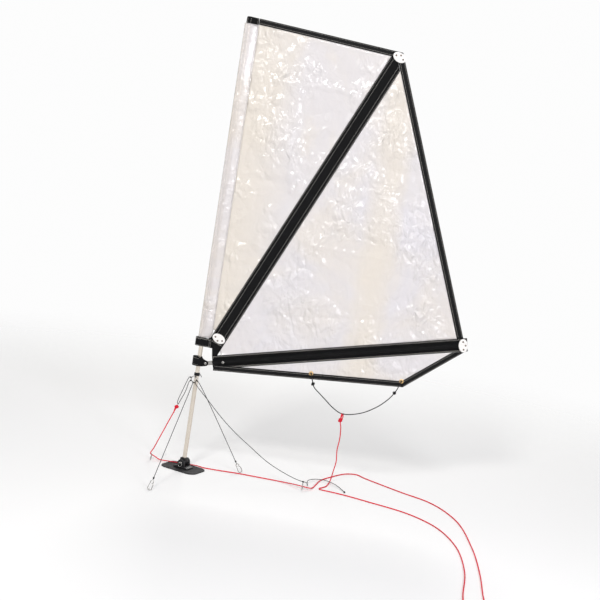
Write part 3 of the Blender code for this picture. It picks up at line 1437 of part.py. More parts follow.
def make_coil(name, entry, side):
    """A neat round coil in two layers, entered on the way towards -Y; side says which way it turns."""
    outer = COIL_RADIUS + COIL_PITCH * COIL_TURNS_A_LAYER / 2
    start = entry - Y_AXIS * 2 * LINE_RADIUS
    centre = start + X_AXIS * side * outer
    full = COIL_TURNS_A_LAYER * math.tau
    steps = POINTS_PER_TURN * COIL_TURNS_A_LAYER
    points = [entry, start]
    for i in range(1, 2 * steps + 1):
        turned_by = full * i / steps
        depth = min(turned_by, 2 * full - turned_by)
        climb = max(0.0, min(1.0, 0.5 + (turned_by - full) / math.pi))
        reach = outer - COIL_PITCH * depth / math.tau
        angle = math.pi * (1 + side) / 2 + side * turned_by
        way = Vector((math.cos(angle), math.sin(angle), 0))
        points.append(centre + way * reach + Z_AXIS * COIL_PITCH * climb)
    for i in range(1, 9):
        share = i / 8
        angle = math.pi * (1 + side) / 2 + side * (2 * full + math.radians(100) * share)
        reach = outer + COIL_EXIT * share
        drop = COIL_PITCH * max(0.0, 1 - 1.6 * share) if share > 0.4 else COIL_PITCH
        way = Vector((math.cos(angle), math.sin(angle), 0))
        points.append(centre + way * reach + Z_AXIS * drop)
    obj = cord(name, points, LINE_RADIUS, RED_CORD, 1)
    for i, spot in enumerate(obj.data.splines[0].points):
        if i >= len(points) - 2:
            spot.radius = 1.5
    print(name, "least gap to itself", round(least_gap(points, LINE_RADIUS), 5))


def least_gap(points, radius):
    """The least gap between stretches of a tube that are more than half a turn apart along it."""
    apart = POINTS_PER_TURN // 2
    return min(
        (p - q).length - 2 * radius
        for i, p in enumerate(points)
        for q in points[i + apart:]
    )


def main():
    make_foot()
    make_mast()
    make_stay_ring()
    make_sleeve()
    make_head_tab()
    make_panels()
    make_flap()
    make_diagonal()
    make_boom()
    make_straps()
    make_tack_patch()
    make_corner_plates()
    make_deck_hardware()
    make_stays()
    make_hoist_line()
    make_bridle()
    make_sheet()


main()
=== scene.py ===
"""The looks of a small folding canoe sail: clear film, black webbing, a silver mast and red and dark lines.

It is laid out as an add-on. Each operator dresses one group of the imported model's pieces, in its own frame:
metres, +Z up the mast, +X towards the sail's clew, -Y towards the side that carries the boom.
"""

import json
import math

import bmesh
import bpy
from mathutils import Matrix, Vector, noise
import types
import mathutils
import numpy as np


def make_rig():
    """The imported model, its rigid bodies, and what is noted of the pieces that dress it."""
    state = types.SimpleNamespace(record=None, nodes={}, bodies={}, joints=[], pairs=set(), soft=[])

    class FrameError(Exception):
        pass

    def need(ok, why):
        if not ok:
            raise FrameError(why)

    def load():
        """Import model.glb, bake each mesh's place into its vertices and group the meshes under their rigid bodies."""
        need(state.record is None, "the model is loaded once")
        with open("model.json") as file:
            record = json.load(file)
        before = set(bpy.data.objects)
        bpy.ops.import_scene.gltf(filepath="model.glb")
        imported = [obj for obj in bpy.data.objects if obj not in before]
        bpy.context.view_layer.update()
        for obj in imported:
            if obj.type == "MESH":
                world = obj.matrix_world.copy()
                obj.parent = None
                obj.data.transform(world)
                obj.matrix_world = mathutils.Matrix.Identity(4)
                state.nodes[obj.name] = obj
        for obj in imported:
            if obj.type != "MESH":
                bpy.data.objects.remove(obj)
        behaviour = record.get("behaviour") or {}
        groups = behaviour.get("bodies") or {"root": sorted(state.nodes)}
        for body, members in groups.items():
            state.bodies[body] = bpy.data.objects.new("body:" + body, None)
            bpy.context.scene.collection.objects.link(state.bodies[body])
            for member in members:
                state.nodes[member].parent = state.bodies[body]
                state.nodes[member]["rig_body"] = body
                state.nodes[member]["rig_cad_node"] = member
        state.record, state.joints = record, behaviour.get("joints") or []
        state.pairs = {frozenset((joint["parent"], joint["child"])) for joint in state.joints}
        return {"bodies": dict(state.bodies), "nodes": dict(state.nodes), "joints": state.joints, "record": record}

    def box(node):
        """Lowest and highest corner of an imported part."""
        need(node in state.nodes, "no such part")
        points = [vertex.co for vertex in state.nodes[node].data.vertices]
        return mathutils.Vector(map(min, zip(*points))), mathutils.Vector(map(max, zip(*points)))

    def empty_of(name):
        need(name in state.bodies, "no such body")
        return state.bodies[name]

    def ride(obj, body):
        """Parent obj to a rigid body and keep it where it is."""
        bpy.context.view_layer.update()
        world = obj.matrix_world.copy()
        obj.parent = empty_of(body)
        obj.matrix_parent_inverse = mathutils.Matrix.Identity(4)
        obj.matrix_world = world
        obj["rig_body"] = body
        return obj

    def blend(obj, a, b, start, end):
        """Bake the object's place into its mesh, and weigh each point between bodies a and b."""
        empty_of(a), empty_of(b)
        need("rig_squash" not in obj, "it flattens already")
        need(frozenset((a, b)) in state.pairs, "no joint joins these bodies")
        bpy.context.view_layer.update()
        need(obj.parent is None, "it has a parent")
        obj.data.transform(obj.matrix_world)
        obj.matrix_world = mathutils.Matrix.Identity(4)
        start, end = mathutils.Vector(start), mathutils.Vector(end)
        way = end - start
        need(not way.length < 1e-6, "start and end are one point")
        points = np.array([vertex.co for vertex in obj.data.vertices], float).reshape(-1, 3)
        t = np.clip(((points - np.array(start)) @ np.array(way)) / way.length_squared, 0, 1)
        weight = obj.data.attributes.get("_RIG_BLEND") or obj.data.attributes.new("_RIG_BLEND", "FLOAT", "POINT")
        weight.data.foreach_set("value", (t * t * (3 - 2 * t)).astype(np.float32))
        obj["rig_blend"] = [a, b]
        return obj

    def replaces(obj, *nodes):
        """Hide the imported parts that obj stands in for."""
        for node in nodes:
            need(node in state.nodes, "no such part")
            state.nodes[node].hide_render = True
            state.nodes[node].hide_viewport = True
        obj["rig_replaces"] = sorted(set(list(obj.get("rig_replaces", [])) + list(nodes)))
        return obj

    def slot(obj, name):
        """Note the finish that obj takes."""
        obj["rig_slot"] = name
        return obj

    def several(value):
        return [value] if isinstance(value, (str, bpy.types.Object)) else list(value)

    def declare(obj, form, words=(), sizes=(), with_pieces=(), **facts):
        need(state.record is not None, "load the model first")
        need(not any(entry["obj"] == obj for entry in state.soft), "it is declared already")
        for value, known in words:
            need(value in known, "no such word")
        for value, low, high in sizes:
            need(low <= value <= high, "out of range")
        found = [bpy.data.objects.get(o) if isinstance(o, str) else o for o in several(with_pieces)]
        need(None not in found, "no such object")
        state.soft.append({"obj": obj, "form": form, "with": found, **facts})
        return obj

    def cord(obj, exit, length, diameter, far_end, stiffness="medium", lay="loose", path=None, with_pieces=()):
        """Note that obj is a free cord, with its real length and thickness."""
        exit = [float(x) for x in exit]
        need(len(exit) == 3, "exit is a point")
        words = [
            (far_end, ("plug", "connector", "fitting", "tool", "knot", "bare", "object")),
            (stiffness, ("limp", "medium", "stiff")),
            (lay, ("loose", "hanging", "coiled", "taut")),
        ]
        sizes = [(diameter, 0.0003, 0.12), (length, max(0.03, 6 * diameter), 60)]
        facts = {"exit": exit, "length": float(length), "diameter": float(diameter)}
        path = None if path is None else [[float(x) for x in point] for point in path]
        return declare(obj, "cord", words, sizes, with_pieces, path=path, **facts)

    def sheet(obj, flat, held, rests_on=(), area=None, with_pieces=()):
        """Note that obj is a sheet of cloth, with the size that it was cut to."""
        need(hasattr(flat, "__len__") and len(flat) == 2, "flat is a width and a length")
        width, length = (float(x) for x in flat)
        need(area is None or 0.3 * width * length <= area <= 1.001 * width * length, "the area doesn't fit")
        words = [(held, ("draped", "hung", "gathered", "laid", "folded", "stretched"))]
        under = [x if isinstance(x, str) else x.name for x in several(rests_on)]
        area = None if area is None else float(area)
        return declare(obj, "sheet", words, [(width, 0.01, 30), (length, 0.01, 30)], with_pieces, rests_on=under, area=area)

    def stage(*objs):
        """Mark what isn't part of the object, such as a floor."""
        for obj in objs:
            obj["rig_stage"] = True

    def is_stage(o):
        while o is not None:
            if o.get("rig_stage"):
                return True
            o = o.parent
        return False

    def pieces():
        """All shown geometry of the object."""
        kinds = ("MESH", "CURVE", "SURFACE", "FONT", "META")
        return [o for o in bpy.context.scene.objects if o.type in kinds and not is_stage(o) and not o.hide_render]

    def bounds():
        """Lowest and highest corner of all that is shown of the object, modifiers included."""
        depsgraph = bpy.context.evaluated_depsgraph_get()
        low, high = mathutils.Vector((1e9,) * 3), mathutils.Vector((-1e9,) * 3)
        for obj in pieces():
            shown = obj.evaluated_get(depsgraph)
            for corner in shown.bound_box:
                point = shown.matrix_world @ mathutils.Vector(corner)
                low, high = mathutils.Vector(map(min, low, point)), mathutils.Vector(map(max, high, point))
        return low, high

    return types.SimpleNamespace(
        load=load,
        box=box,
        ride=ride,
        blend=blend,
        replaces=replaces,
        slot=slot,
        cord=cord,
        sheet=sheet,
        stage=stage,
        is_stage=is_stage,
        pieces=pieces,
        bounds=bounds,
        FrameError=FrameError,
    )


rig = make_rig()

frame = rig.load()
CAD_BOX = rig.bounds()

bl_info = {
    "name": "Canoe Sail Looks",
    "version": (1, 0, 0),
    "blender": (4, 5, 0),
    "location": "View3D > Sidebar > Sail",
    "description": "Dresses the film, webbing, spars, fittings and lines of a small folding canoe sail",
    "category": "Object",
}

X_AXIS = Vector((1, 0, 0))
Y_AXIS = Vector((0, 1, 0))
Z_AXIS = Vector((0, 0, 1))
NEAR = -Y_AXIS
GAP = 0.0003
ROUND = 48


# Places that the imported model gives


def middle(node):
    low, high = (Vector(corner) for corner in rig.box(node))
    return (low + high) / 2


def span(node):
    low, high = (Vector(corner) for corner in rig.box(node))
    return high - low


def hinge(name):
    return next(joint for joint in frame["joints"] if joint["name"] == name)


PIN = Vector(hinge("mast_tilt")["pos_m"])
PIVOT = Vector(hinge("diagonal_fold")["pos_m"])
ACROSS = Vector(hinge("mast_tilt")["axis"]).normalized()
AFT = ACROSS.cross(Z_AXIS)
MAST_RADIUS = span("mast_lower_tube").x / 2
DIAGONAL_Y = middle("diagonal_batten").y
BOOM_Y = middle("boom_tube").y
FLAP_Y = middle("flap_film").y
SEAM_Y = 0.0
PANEL_START_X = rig.box("front_panel")[0][0]

# The sail's outline in its own plane, as x, z and degrees
HEAD_Z = 1.683
TACK = Vector((0.061, 0.511))
DIAGONAL_DEG = 66.2
DIAGONAL_REACH = 1.214
BOOM_DEG = 12.9
BOOM_REACH = 0.953
PEAK_OUT = 0.0215
PEAK_SIDE = -0.0015
CLEW_OUT = 0.011
CLEW_DROP = 0.0238
FLAP_CORNER = Vector((0.762, 0.437))
FLAP_TACK_Z = 0.391
EYELET_X = 0.418
SEAM_X = 0.035
SLEEVE_FRONT = 0.016
STRAP_SLACK = 0.023


def line(x, z, degrees):
    angle = math.radians(degrees)
    return Vector((x, z)), Vector((math.cos(angle), math.sin(angle)))


def line_through(first, second):
    return Vector(first), (Vector(second) - Vector(first)).normalized()


def shifted(a_line, distance):
    point, way = a_line
    return point + Vector((-way.y, way.x)) * distance, way


def meet(first, second):
    (p, u), (q, v) = first, second
    cross = u.x * v.y - u.y * v.x
    return p + u * (((q.x - p.x) * v.y - (q.y - p.y) * v.x) / cross)


def along(a_line, distance, left=0.0):
    point, way = a_line
    return point + way * distance + Vector((-way.y, way.x)) * left


def at(point, y):
    return Vector((point.x, y, point.y))


FILM = 0.0006
TAPE = 0.0022
CAD_TAPE = 0.0024
HEAD_TAPE_WIDTH = 0.022
LEECH_TAPE_WIDTH = 0.024
FLAP_TAPE_WIDTH = 0.022
DIAGONAL_POCKET_WIDTH = 0.056
DIAGONAL_POCKET_DEPTH = 0.006
DIAGONAL_POCKET_START = -0.012
BOOM_POCKET_WIDTH = 0.05
BOOM_POCKET_START = 0.026
BOOM_POCKET_END = 0.97
BOOM_RADIUS = 0.007
POCKET_BACK = 0.0008
BOOM_BACK_Y = FLAP_Y + CAD_TAPE / 2 + GAP + POCKET_BACK

DIAGONAL = line(*TACK, DIAGONAL_DEG)
BOOM = line(PIVOT.x, PIVOT.z, BOOM_DEG)
PEAK = along(DIAGONAL, DIAGONAL_REACH + PEAK_OUT, PEAK_SIDE)
CLEW = along(BOOM, BOOM_REACH + CLEW_OUT, -CLEW_DROP)
HEAD = line_through((0.0, HEAD_Z), PEAK)
LEECH = line_through(PEAK, CLEW)
POCKET_TOP = shifted(BOOM, BOOM_POCKET_WIDTH / 2)
POCKET_FOOT = shifted(BOOM, -BOOM_POCKET_WIDTH / 2)
FLAP_TACK = Vector((along(POCKET_FOOT, BOOM_POCKET_START).x, FLAP_TACK_Z))
FLAP_LOW = line_through(FLAP_TACK, FLAP_CORNER)
FLAP_RISE = line_through(FLAP_CORNER, CLEW)
HEAD_INNER = shifted(HEAD, -HEAD_TAPE_WIDTH)
LEECH_INNER = shifted(LEECH, -LEECH_TAPE_WIDTH)
FLAP_LOW_INNER = shifted(FLAP_LOW, FLAP_TAPE_WIDTH)
FLAP_RISE_INNER = shifted(FLAP_RISE, FLAP_TAPE_WIDTH)
DIAGONAL_FRONT = shifted(DIAGONAL, DIAGONAL_POCKET_WIDTH / 2)
DIAGONAL_BACK = shifted(DIAGONAL, -DIAGONAL_POCKET_WIDTH / 2)


def eased(share):
    """The share of a panel's depth at a share of the way across it, for an even turn when it folds."""
    return 0.5 - math.sin(math.asin(1 - 2 * max(0.0, min(1.0, share))) / 3)


# Settings


def tint(label, tells, *default):
    return bpy.props.FloatVectorProperty(
        name=label, description=tells, subtype="COLOR", size=3, default=default
    )


def length(label, tells, default, unit="LENGTH"):
    return bpy.props.FloatProperty(name=label, description=tells, unit=unit, default=default)


class SailColours(bpy.types.PropertyGroup):
    """The colours of the sail's finishes."""

    film: tint("Film", "The clear film's milky tint", 0.735, 0.7, 0.7)
    # The lilac is partly the film's own tint and partly painted highlight, laid in random patches.
    film_shade: tint("Film shade", "The film's tint where it looks lilac", 0.72, 0.695, 0.735)
    film_cream: tint("Film cream", "The film's tint where it looks creamy", 0.765, 0.7, 0.615)
    webbing: tint("Webbing", "The black webbing and tapes", 0.0045, 0.0045, 0.005)
    thread: tint("Thread", "The stitching", 0.44, 0.42, 0.39)
    # The mast tint's warm tan is painted reflection: warm light mirrored on the pale silver aluminium, painted into
    # its colour.
    mast: tint("Mast", "The mast's and boom's aluminium", 0.74, 0.675, 0.59)
    steel: tint("Steel", "Hooks, rings, pin and rivets", 0.38, 0.37, 0.355)
    rivet: tint("Brown rivets", "The rivets of the corner plates", 0.115, 0.075, 0.055)
    brass: tint("Brass", "The eyelets", 0.66, 0.44, 0.2)
    plate: tint("Plates", "The corner plates", 0.84, 0.82, 0.8)
    plastic: tint("Plastic", "The mast step, heel and caps", 0.01, 0.01, 0.011)
    rubber: tint("Deck patch", "The patch under the mast", 0.017, 0.017, 0.018)
    red: tint("Red line", "The sheet and the hoist line", 0.8, 0.018, 0.045)
    dark: tint("Dark cord", "The stays and the bridle", 0.011, 0.011, 0.012)
    floor: tint("Floor", "The pale floor and backdrop", 0.93, 0.93, 0.93)


class SailSizes(bpy.types.PropertyGroup):
    """The sizes of the sail's surface detail."""

    crease: length("Crease", "How far the film's creases stand proud", 0.0026)
    ripple: length("Ripple", "How far the film's broad ripples stand proud", 0.0011)
    stitch: length("Stitch", "The distance from one stitch of a straight row to the next", 0.0056)
    thread: length("Thread radius", "The radius of the sewing thread", 0.00066)
    line_radius: length("Line radius", "The radius of the red lines", 0.002)
    stay_radius: length("Stay radius", "The radius of the stays", 0.0012)
    bridle_radius: length("Bridle radius", "The radius of the bridle", 0.0018)
    lens: length("Lens", "The camera's focal length", 73.802, "CAMERA")


def colour(name):
    return tuple(getattr(bpy.context.scene.sail_colours, name))


def size(name):
    return getattr(bpy.context.scene.sail_sizes, name)


# Finishes: each is made once and then found by its name

PANE_SCALE, SHARD_SCALE, FLECK_SCALE, STREAK_SCALE, CLOUD_SCALE = 11.0, 30.0, 62.0, 24.0, 3.4
FILM_BUMP = 0.011


def node(tree, kind, values=None, wires=None, **settings):
    """A shader node with its values and what its sockets are wired to."""
    made = tree.nodes.new(kind)
    for key, value in settings.items():
        setattr(made, key, value)
    for key, value in (values or {}).items():
        made.inputs[key].default_value = value
    for key, source in (wires or {}).items():
        tree.links.new(source, made.inputs[key])
    return made


def maths(tree, operation, *terms):
    made = node(tree, "ShaderNodeMath", operation=operation)
    for socket, term in zip(made.inputs, terms):
        if isinstance(term, (int, float)):
            socket.default_value = term
        else:
            tree.links.new(term, socket)
    return made.outputs[0]


def summed(tree, *terms):
    """The sum of some (value, weight) terms."""
    total = None
    for value, weight in terms:
        term = value if weight == 1 else maths(tree, "MULTIPLY", value, weight)
        total = term if total is None else maths(tree, "ADD", total, term)
    return total


def ramp(tree, source, stops):
    """A colour ramp from (place, colour) stops, where a number stands for a grey."""
    made = node(tree, "ShaderNodeValToRGB", wires={"Fac": source})
    ends = made.color_ramp.elements
    while len(ends) < len(stops):
        ends.new(0.5)
    for spot, (place, shade) in zip(ends, stops):
        spot.position = place
        spot.color = (*(shade if isinstance(shade, tuple) else (shade,) * 3), 1)
    return made.outputs["Color"]


def tinted(shade, share):
    return tuple(min(1.0, c * share) for c in shade)


def begin(name, roughness, constants=None):
    """A new material, its node tree and its main shader, with some of the shader's sockets set."""
    finish = bpy.data.materials.new(name)
    finish.use_nodes = True
    tree = finish.node_tree
    skin = tree.nodes["Principled BSDF"]
    for socket, value in {"Roughness": roughness, **(constants or {})}.items():
        skin.inputs[socket].default_value = value
    return finish, tree, skin


def ramp_to(tree, socket, source, *stops):
    tree.links.new(ramp(tree, source, stops), tree.nodes["Principled BSDF"].inputs[socket])


def bumped(tree, height, distance, strength=1.0):
    bump = node(tree, "ShaderNodeBump", {"Strength": strength, "Distance": distance}, {"Height": height})
    tree.links.new(bump.outputs["Normal"], tree.nodes["Principled BSDF"].inputs["Normal"])


def object_coordinates(tree, scale=(1, 1, 1), turn=(0, 0, 0)):
    source = node(tree, "ShaderNodeTexCoord").outputs["Object"]
    made = node(tree, "ShaderNodeMapping", {"Scale": scale, "Rotation": turn}, {"Vector": source})
    return made.outputs["Vector"]


def map_coordinates(tree):
    source = node(tree, "ShaderNodeTexCoord").outputs["UV"]
    return node(tree, "ShaderNodeMapping", wires={"Vector": source}).outputs["Vector"]


def axis(tree, where, name):
    return node(tree, "ShaderNodeSeparateXYZ", wires={"Vector": where}).outputs[name]


def noise_of(tree, where, scale, detail=3.0, roughness=0.5, distortion=0.0):
    values = {"Scale": scale, "Detail": detail, "Roughness": roughness, "Distortion": distortion}
    return node(tree, "ShaderNodeTexNoise", values, {"Vector": where}).outputs["Fac"]


def cells(tree, where, scale, feature="DISTANCE_TO_EDGE"):
    made = node(tree, "ShaderNodeTexVoronoi", {"Scale": scale}, {"Vector": where}, feature=feature)
    return made.outputs["Distance"]


def film_finish(name, milkiness, cream, band, painted_brightness=1.0):
    """Clear crinkled film. Its map is in metres along the mast and across the sail.

    cream says how warm it is, from 0 to 1; band is a yellower strip's middle, half width and strength.
    """
    # The last argument lifts the whole tint: painted light, for film that the lamps light less than the panels.
    finish, tree, skin = begin(
        name, 0.2, {"Specular IOR Level": 0.7, "Coat Weight": 0.4, "Coat Roughness": 0.07}
    )
    where = map_coordinates(tree)
    drift = node(tree, "ShaderNodeTexNoise", {"Scale": 7.0, "Detail": 2.0}, {"Vector": where})
    drift = node(
        tree, "ShaderNodeVectorMath", {1: (0.06, 0.06, 0)}, {0: drift.outputs["Color"]}, operation="MULTIPLY"
    ).outputs[0]
    warped = node(tree, "ShaderNodeVectorMath", wires={0: where, 1: drift}, operation="ADD").outputs[0]
    slant = {"Scale": (1.0, 0.7, 1.0), "Rotation": (0, 0, math.radians(24))}
    slanted = node(tree, "ShaderNodeMapping", slant, {"Vector": warped}).outputs["Vector"]
    broad = noise_of(tree, where, CLOUD_SCALE, 4.0, 0.55, 0.8)
    streaks = noise_of(tree, slanted, STREAK_SCALE, 4.0, 0.55, 0.5)
    panes = cells(tree, warped, PANE_SCALE)
    shards = cells(tree, slanted, SHARD_SCALE)
    flecks = cells(tree, slanted, FLECK_SCALE, "F1")
    patchy = ramp(tree, noise_of(tree, where, 4.6, 3.0, 0.5, 0.4), [(0.42, 0.16), (0.62, 1.0)])
    fine = maths(tree, "MULTIPLY", summed(tree, (shards, 0.9), (flecks, 0.28), (streaks, 1.1)), patchy)
    bumped(tree, summed(tree, (panes, 0.75), (fine, 1)), FILM_BUMP)
    # The lilac stop is partly painted highlight.
    lilac, milk, warm = colour("film_shade"), colour("film"), colour("film_cream")
    low = tuple(a + (b - a) * cream for a, b in zip(lilac, milk))
    high = tuple(a + (b - a) * (0.35 + 0.65 * cream) for a, b in zip(milk, warm))
    stops = ((0.32, low), (0.5, milk), (0.66, high))
    cloudy = ramp(tree, broad, [(place, tinted(shade, painted_brightness)) for place, shade in stops])
    middle_x, half_width, strength = band
    away = maths(tree, "DIVIDE", maths(tree, "SUBTRACT", axis(tree, warped, "X"), middle_x), half_width)
    fade = maths(tree, "SUBTRACT", 1.0, maths(tree, "MULTIPLY", away, away))
    fade = maths(tree, "MULTIPLY", maths(tree, "MAXIMUM", fade, 0.0), strength)
    yellow = {7: (*tinted(warm, painted_brightness), 1)}
    yellower_strip = node(tree, "ShaderNodeMix", data_type="RGBA", wires={0: fade, 6: cloudy}, values=yellow)
    tree.links.new(yellower_strip.outputs[2], skin.inputs["Base Color"])
    ramp_to(tree, "Roughness", streaks, (0.35, 0.1), (0.65, 0.24))
    ramp_to(tree, "Alpha", broad, (0.3, milkiness), (0.7, milkiness + 0.14))
    return finish


def webbing_finish(name, roughness, pitch, depth, specular):
    """Crossing ribs of webbing, finer along than across, on the piece's own map."""
    finish, tree, _ = begin(name, roughness, {"Specular IOR Level": specular})
    where = map_coordinates(tree)
    axes = node(tree, "ShaderNodeSeparateXYZ", wires={"Vector": where})
    ribs = maths(tree, "SINE", maths(tree, "MULTIPLY", axes.outputs["X"], math.tau / pitch))
    picks = maths(tree, "SINE", maths(tree, "MULTIPLY", axes.outputs["Y"], math.tau / (pitch * 0.8)))
    cloth = summed(tree, (ribs, picks), (picks, 0.4))
    bumped(tree, summed(tree, (cloth, 1), (noise_of(tree, where, 900.0, 2.0), 1)), depth)
    worn = noise_of(tree, where, 38.0, 4.0, 0.6)
    black = colour("webbing")
    # The weave's height tints it too: painted shade in the weave's hollows and lighter ribs, besides the random wear.
    shade = summed(tree, (cloth, 0.1), (worn, 1))
    ramp_to(tree, "Base Color", shade, (0.3, tinted(black, 0.75)), (0.55, black), (0.8, tinted(black, 2.0)))
    return finish


def thread_finish(name):
    finish, tree, _ = begin(name, 0.65)
    twist = noise_of(tree, object_coordinates(tree), 1400.0, 2.0)
    pale = colour("thread")
    ramp_to(tree, "Base Color", twist, (0.3, tinted(pale, 0.7)), (0.7, tinted(pale, 1.15)))
    bumped(tree, twist, 0.0001)
    return finish


def metal(name, shade_name, roughness, brush=(1, 1, 1), wear=0.06):
    """A metal with fine marks that run the way that brush stretches them."""
    finish, tree, _ = begin(name, roughness, {"Metallic": 1.0})
    marks = noise_of(tree, object_coordinates(tree, brush), 620.0, 3.0, 0.6)
    cloud = noise_of(tree, object_coordinates(tree), 24.0, 3.0, 0.55)
    shade = summed(tree, (marks, 0.4), (cloud, 0.6))
    bright = colour(shade_name)
    ramp_to(tree, "Base Color", shade, (0.3, tinted(bright, 0.86)), (0.65, bright))
    ramp_to(tree, "Roughness", shade, (0.3, roughness + wear), (0.7, max(0.05, roughness - wear)))
    bumped(tree, marks, 0.00004, 0.6)
    return finish


def moulded(name, shade_name, roughness, grain, depth):
    finish, tree, _ = begin(name, roughness, {"Specular IOR Level": 0.22})
    where = object_coordinates(tree)
    fine = noise_of(tree, where, grain, 3.0, 0.6)
    marks = noise_of(tree, where, grain / 14, 4.0, 0.6)
    black = colour(shade_name)
    ramp_to(tree, "Base Color", marks, (0.35, black), (0.75, tinted(black, 1.7)))
    ramp_to(tree, "Roughness", marks, (0.3, roughness + 0.06), (0.7, roughness - 0.05))
    bumped(tree, fine, depth)
    return finish


def plate_finish(name):
    finish, tree, _ = begin(name, 0.26, {"Coat Weight": 0.3})
    where = object_coordinates(tree)
    marks = noise_of(tree, where, 160.0, 4.0, 0.6)
    white = colour("plate")
    ramp_to(tree, "Base Color", marks, (0.25, tinted(white, 0.86)), (0.55, white))
    bumped(tree, noise_of(tree, where, 420.0, 2.0), 0.00004)
    return finish


def fibre_finish(name):
    finish, tree, _ = begin(name, 0.38)
    strands = noise_of(tree, object_coordinates(tree, turn=(0, math.radians(DIAGONAL_DEG), 0)), 240.0, 3.0)
    ramp_to(tree, "Base Color", strands, (0.3, (0.7, 0.66, 0.5)), (0.7, (0.84, 0.8, 0.66)))
    bumped(tree, strands, 0.0001)
    return finish


def braid(name, shade_name, strands, pitch, crown_and_fleck):
    """Crossed strands round a cord: its map runs round it along X and along it, in metres, along Y."""
    finish, tree, _ = begin(name, 0.62, {"Specular IOR Level": 0.2})
    axes = node(tree, "ShaderNodeSeparateXYZ", wires={"Vector": map_coordinates(tree)})
    round_it = maths(tree, "MULTIPLY", axes.outputs["X"], math.tau * strands)
    down_it = maths(tree, "MULTIPLY", axes.outputs["Y"], math.tau / pitch)
    left = maths(tree, "SINE", maths(tree, "ADD", round_it, down_it))
    right = maths(tree, "SINE", maths(tree, "SUBTRACT", round_it, down_it))
    height = maths(tree, "MAXIMUM", left, right)
    bumped(tree, height, 0.00025)
    fuzz = noise_of(tree, object_coordinates(tree), 1800.0, 2.0)
    own = colour(shade_name)
    # The strands' height tints the cord too: painted shade in the grooves between strands and painted highlight on
    # their crowns, besides random fuzz.
    shade = summed(tree, (height, 0.22), (fuzz, 0.8))
    ramp_to(tree, "Base Color", shade, (0.15, tinted(own, 0.55)), (0.55, own), (0.85, tinted(own, crown_and_fleck)))
    return finish


# Each finish's maker and what it is given
FINISHES = {
    "clear_film": (film_finish, 0.68, 0.15, (0.62, 0.075, 0.75)),
    "luff_film": (film_finish, 0.68, 0.55, (0.06, 0.19, 0.85)),
    # The last number lifts the sleeve's tint: painted light, as the lamps light the sleeve less than the panels.
    "sleeve_film": (film_finish, 0.38, 0.75, (0.08, 0.02, 0.6), 1.12),
    "black_webbing": (webbing_finish, 0.52, 0.0016, 0.00022, 0.09),
    "edge_tape": (webbing_finish, 0.48, 0.0009, 0.0001, 0.11),
    "sewing_thread": (thread_finish,),
    # The mast tint's warm tan stands for painted reflection on the aluminium.
    "mast_aluminium": (metal, "mast", 0.3, (1, 1, 0.03), 0.08),
    "bright_steel": (metal, "steel", 0.2),
    "aged_brass": (metal, "brass", 0.28, (1, 1, 1), 0.12),
    "brown_rivet": (metal, "rivet", 0.42, (1, 1, 1), 0.1),
    "black_plastic": (moulded, "plastic", 0.42, 1500.0, 0.00005),
    "deck_rubber": (moulded, "rubber", 0.74, 700.0, 0.00022),
    "plate_white": (plate_finish,),
    "glass_fibre": (fibre_finish,),
    "red_cord": (braid, "red", 4, 0.005, 1.25),
    "dark_cord": (braid, "dark", 3, 0.0036, 3.2),
}
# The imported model's slot for each finish whose slot has another name
SLOTS = {
    "edge_tape": "black_webbing", "sewing_thread": "black_webbing", "aged_brass": "eyelet_brass",
    "brown_rivet": "bright_steel", "luff_film": "clear_film", "sleeve_film": "clear_film",
}


def finish_named(name):
    maker, *given = FINISHES[name]
    return bpy.data.materials.get(f"sail_{name}") or maker(f"sail_{name}", *given)


# Making pieces


def piece(name, bm, finish, smooth_deg=40.0, recalculate=True):
    """A finished mesh object at the origin, with its place in its mesh."""
    bmesh.ops.remove_doubles(bm, verts=bm.verts, dist=GAP / 30)
    if recalculate:
        bmesh.ops.recalc_face_normals(bm, faces=bm.faces)
    mesh = bpy.data.meshes.new(name)
    bm.to_mesh(mesh)
    bm.free()
    mesh.shade_smooth()
    mesh.set_sharp_from_angle(angle=math.radians(smooth_deg))
    mesh.materials.append(finish_named(finish))
    obj = bpy.data.objects.new(name, mesh)
    bpy.context.scene.collection.objects.link(obj)
    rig.slot(obj, SLOTS.get(finish, finish))
    return obj


def riding(obj, body, *nodes):
    if nodes:
        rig.replaces(obj, *nodes)
    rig.ride(obj, body)
    return obj


def dress(finish, *nodes):
    """Gives CAD nodes that stay as they are a finish."""
    for name in nodes:
        mesh = frame["nodes"][name].data
        mesh.materials.clear()
        mesh.materials.append(finish_named(finish))


def place_on(base, way):
    return Matrix.Translation(Vector(base)) @ Vector(way).to_track_quat("Z", "Y").to_matrix().to_4x4()


def arc(start, end, steps):
    """The cosines and sines at even steps from one angle to another, in degrees."""
    angles = (math.radians(start + (end - start) * i / steps) for i in range(steps + 1))
    return [(math.cos(angle), math.sin(angle)) for angle in angles]


def smooth_step(share):
    t = max(0.0, min(1.0, share))
    return t * t * (3 - 2 * t)


def spin(bm, points, place, steps, closed=False):
    """Points joined in a row, or in a round, and spun about the Z of a place."""
    verts = [bm.verts.new(place @ Vector(p)) for p in points]
    pairs = list(zip(verts, verts[1:]))
    if closed:
        pairs.append((verts[-1], verts[0]))
    edges = [bm.edges.new(pair) for pair in pairs]
    bmesh.ops.spin(
        bm, geom=verts + edges, cent=place.translation, axis=place.to_3x3() @ Z_AXIS, angle=math.tau,
        steps=steps, use_merge=True, use_duplicate=False,
    )


def add_turned(bm, profile, base, way, sides=ROUND):
    """A profile of (radius, height) points spun round the line from base along way."""
    spin(bm, [(r, 0, h) for r, h in profile], place_on(base, way), sides, profile[0][0] > 0)


def turned(name, profile, base, way, finish, sides=ROUND):
    bm = bmesh.new()
    add_turned(bm, profile, base, way, sides)
    return piece(name, bm, finish)


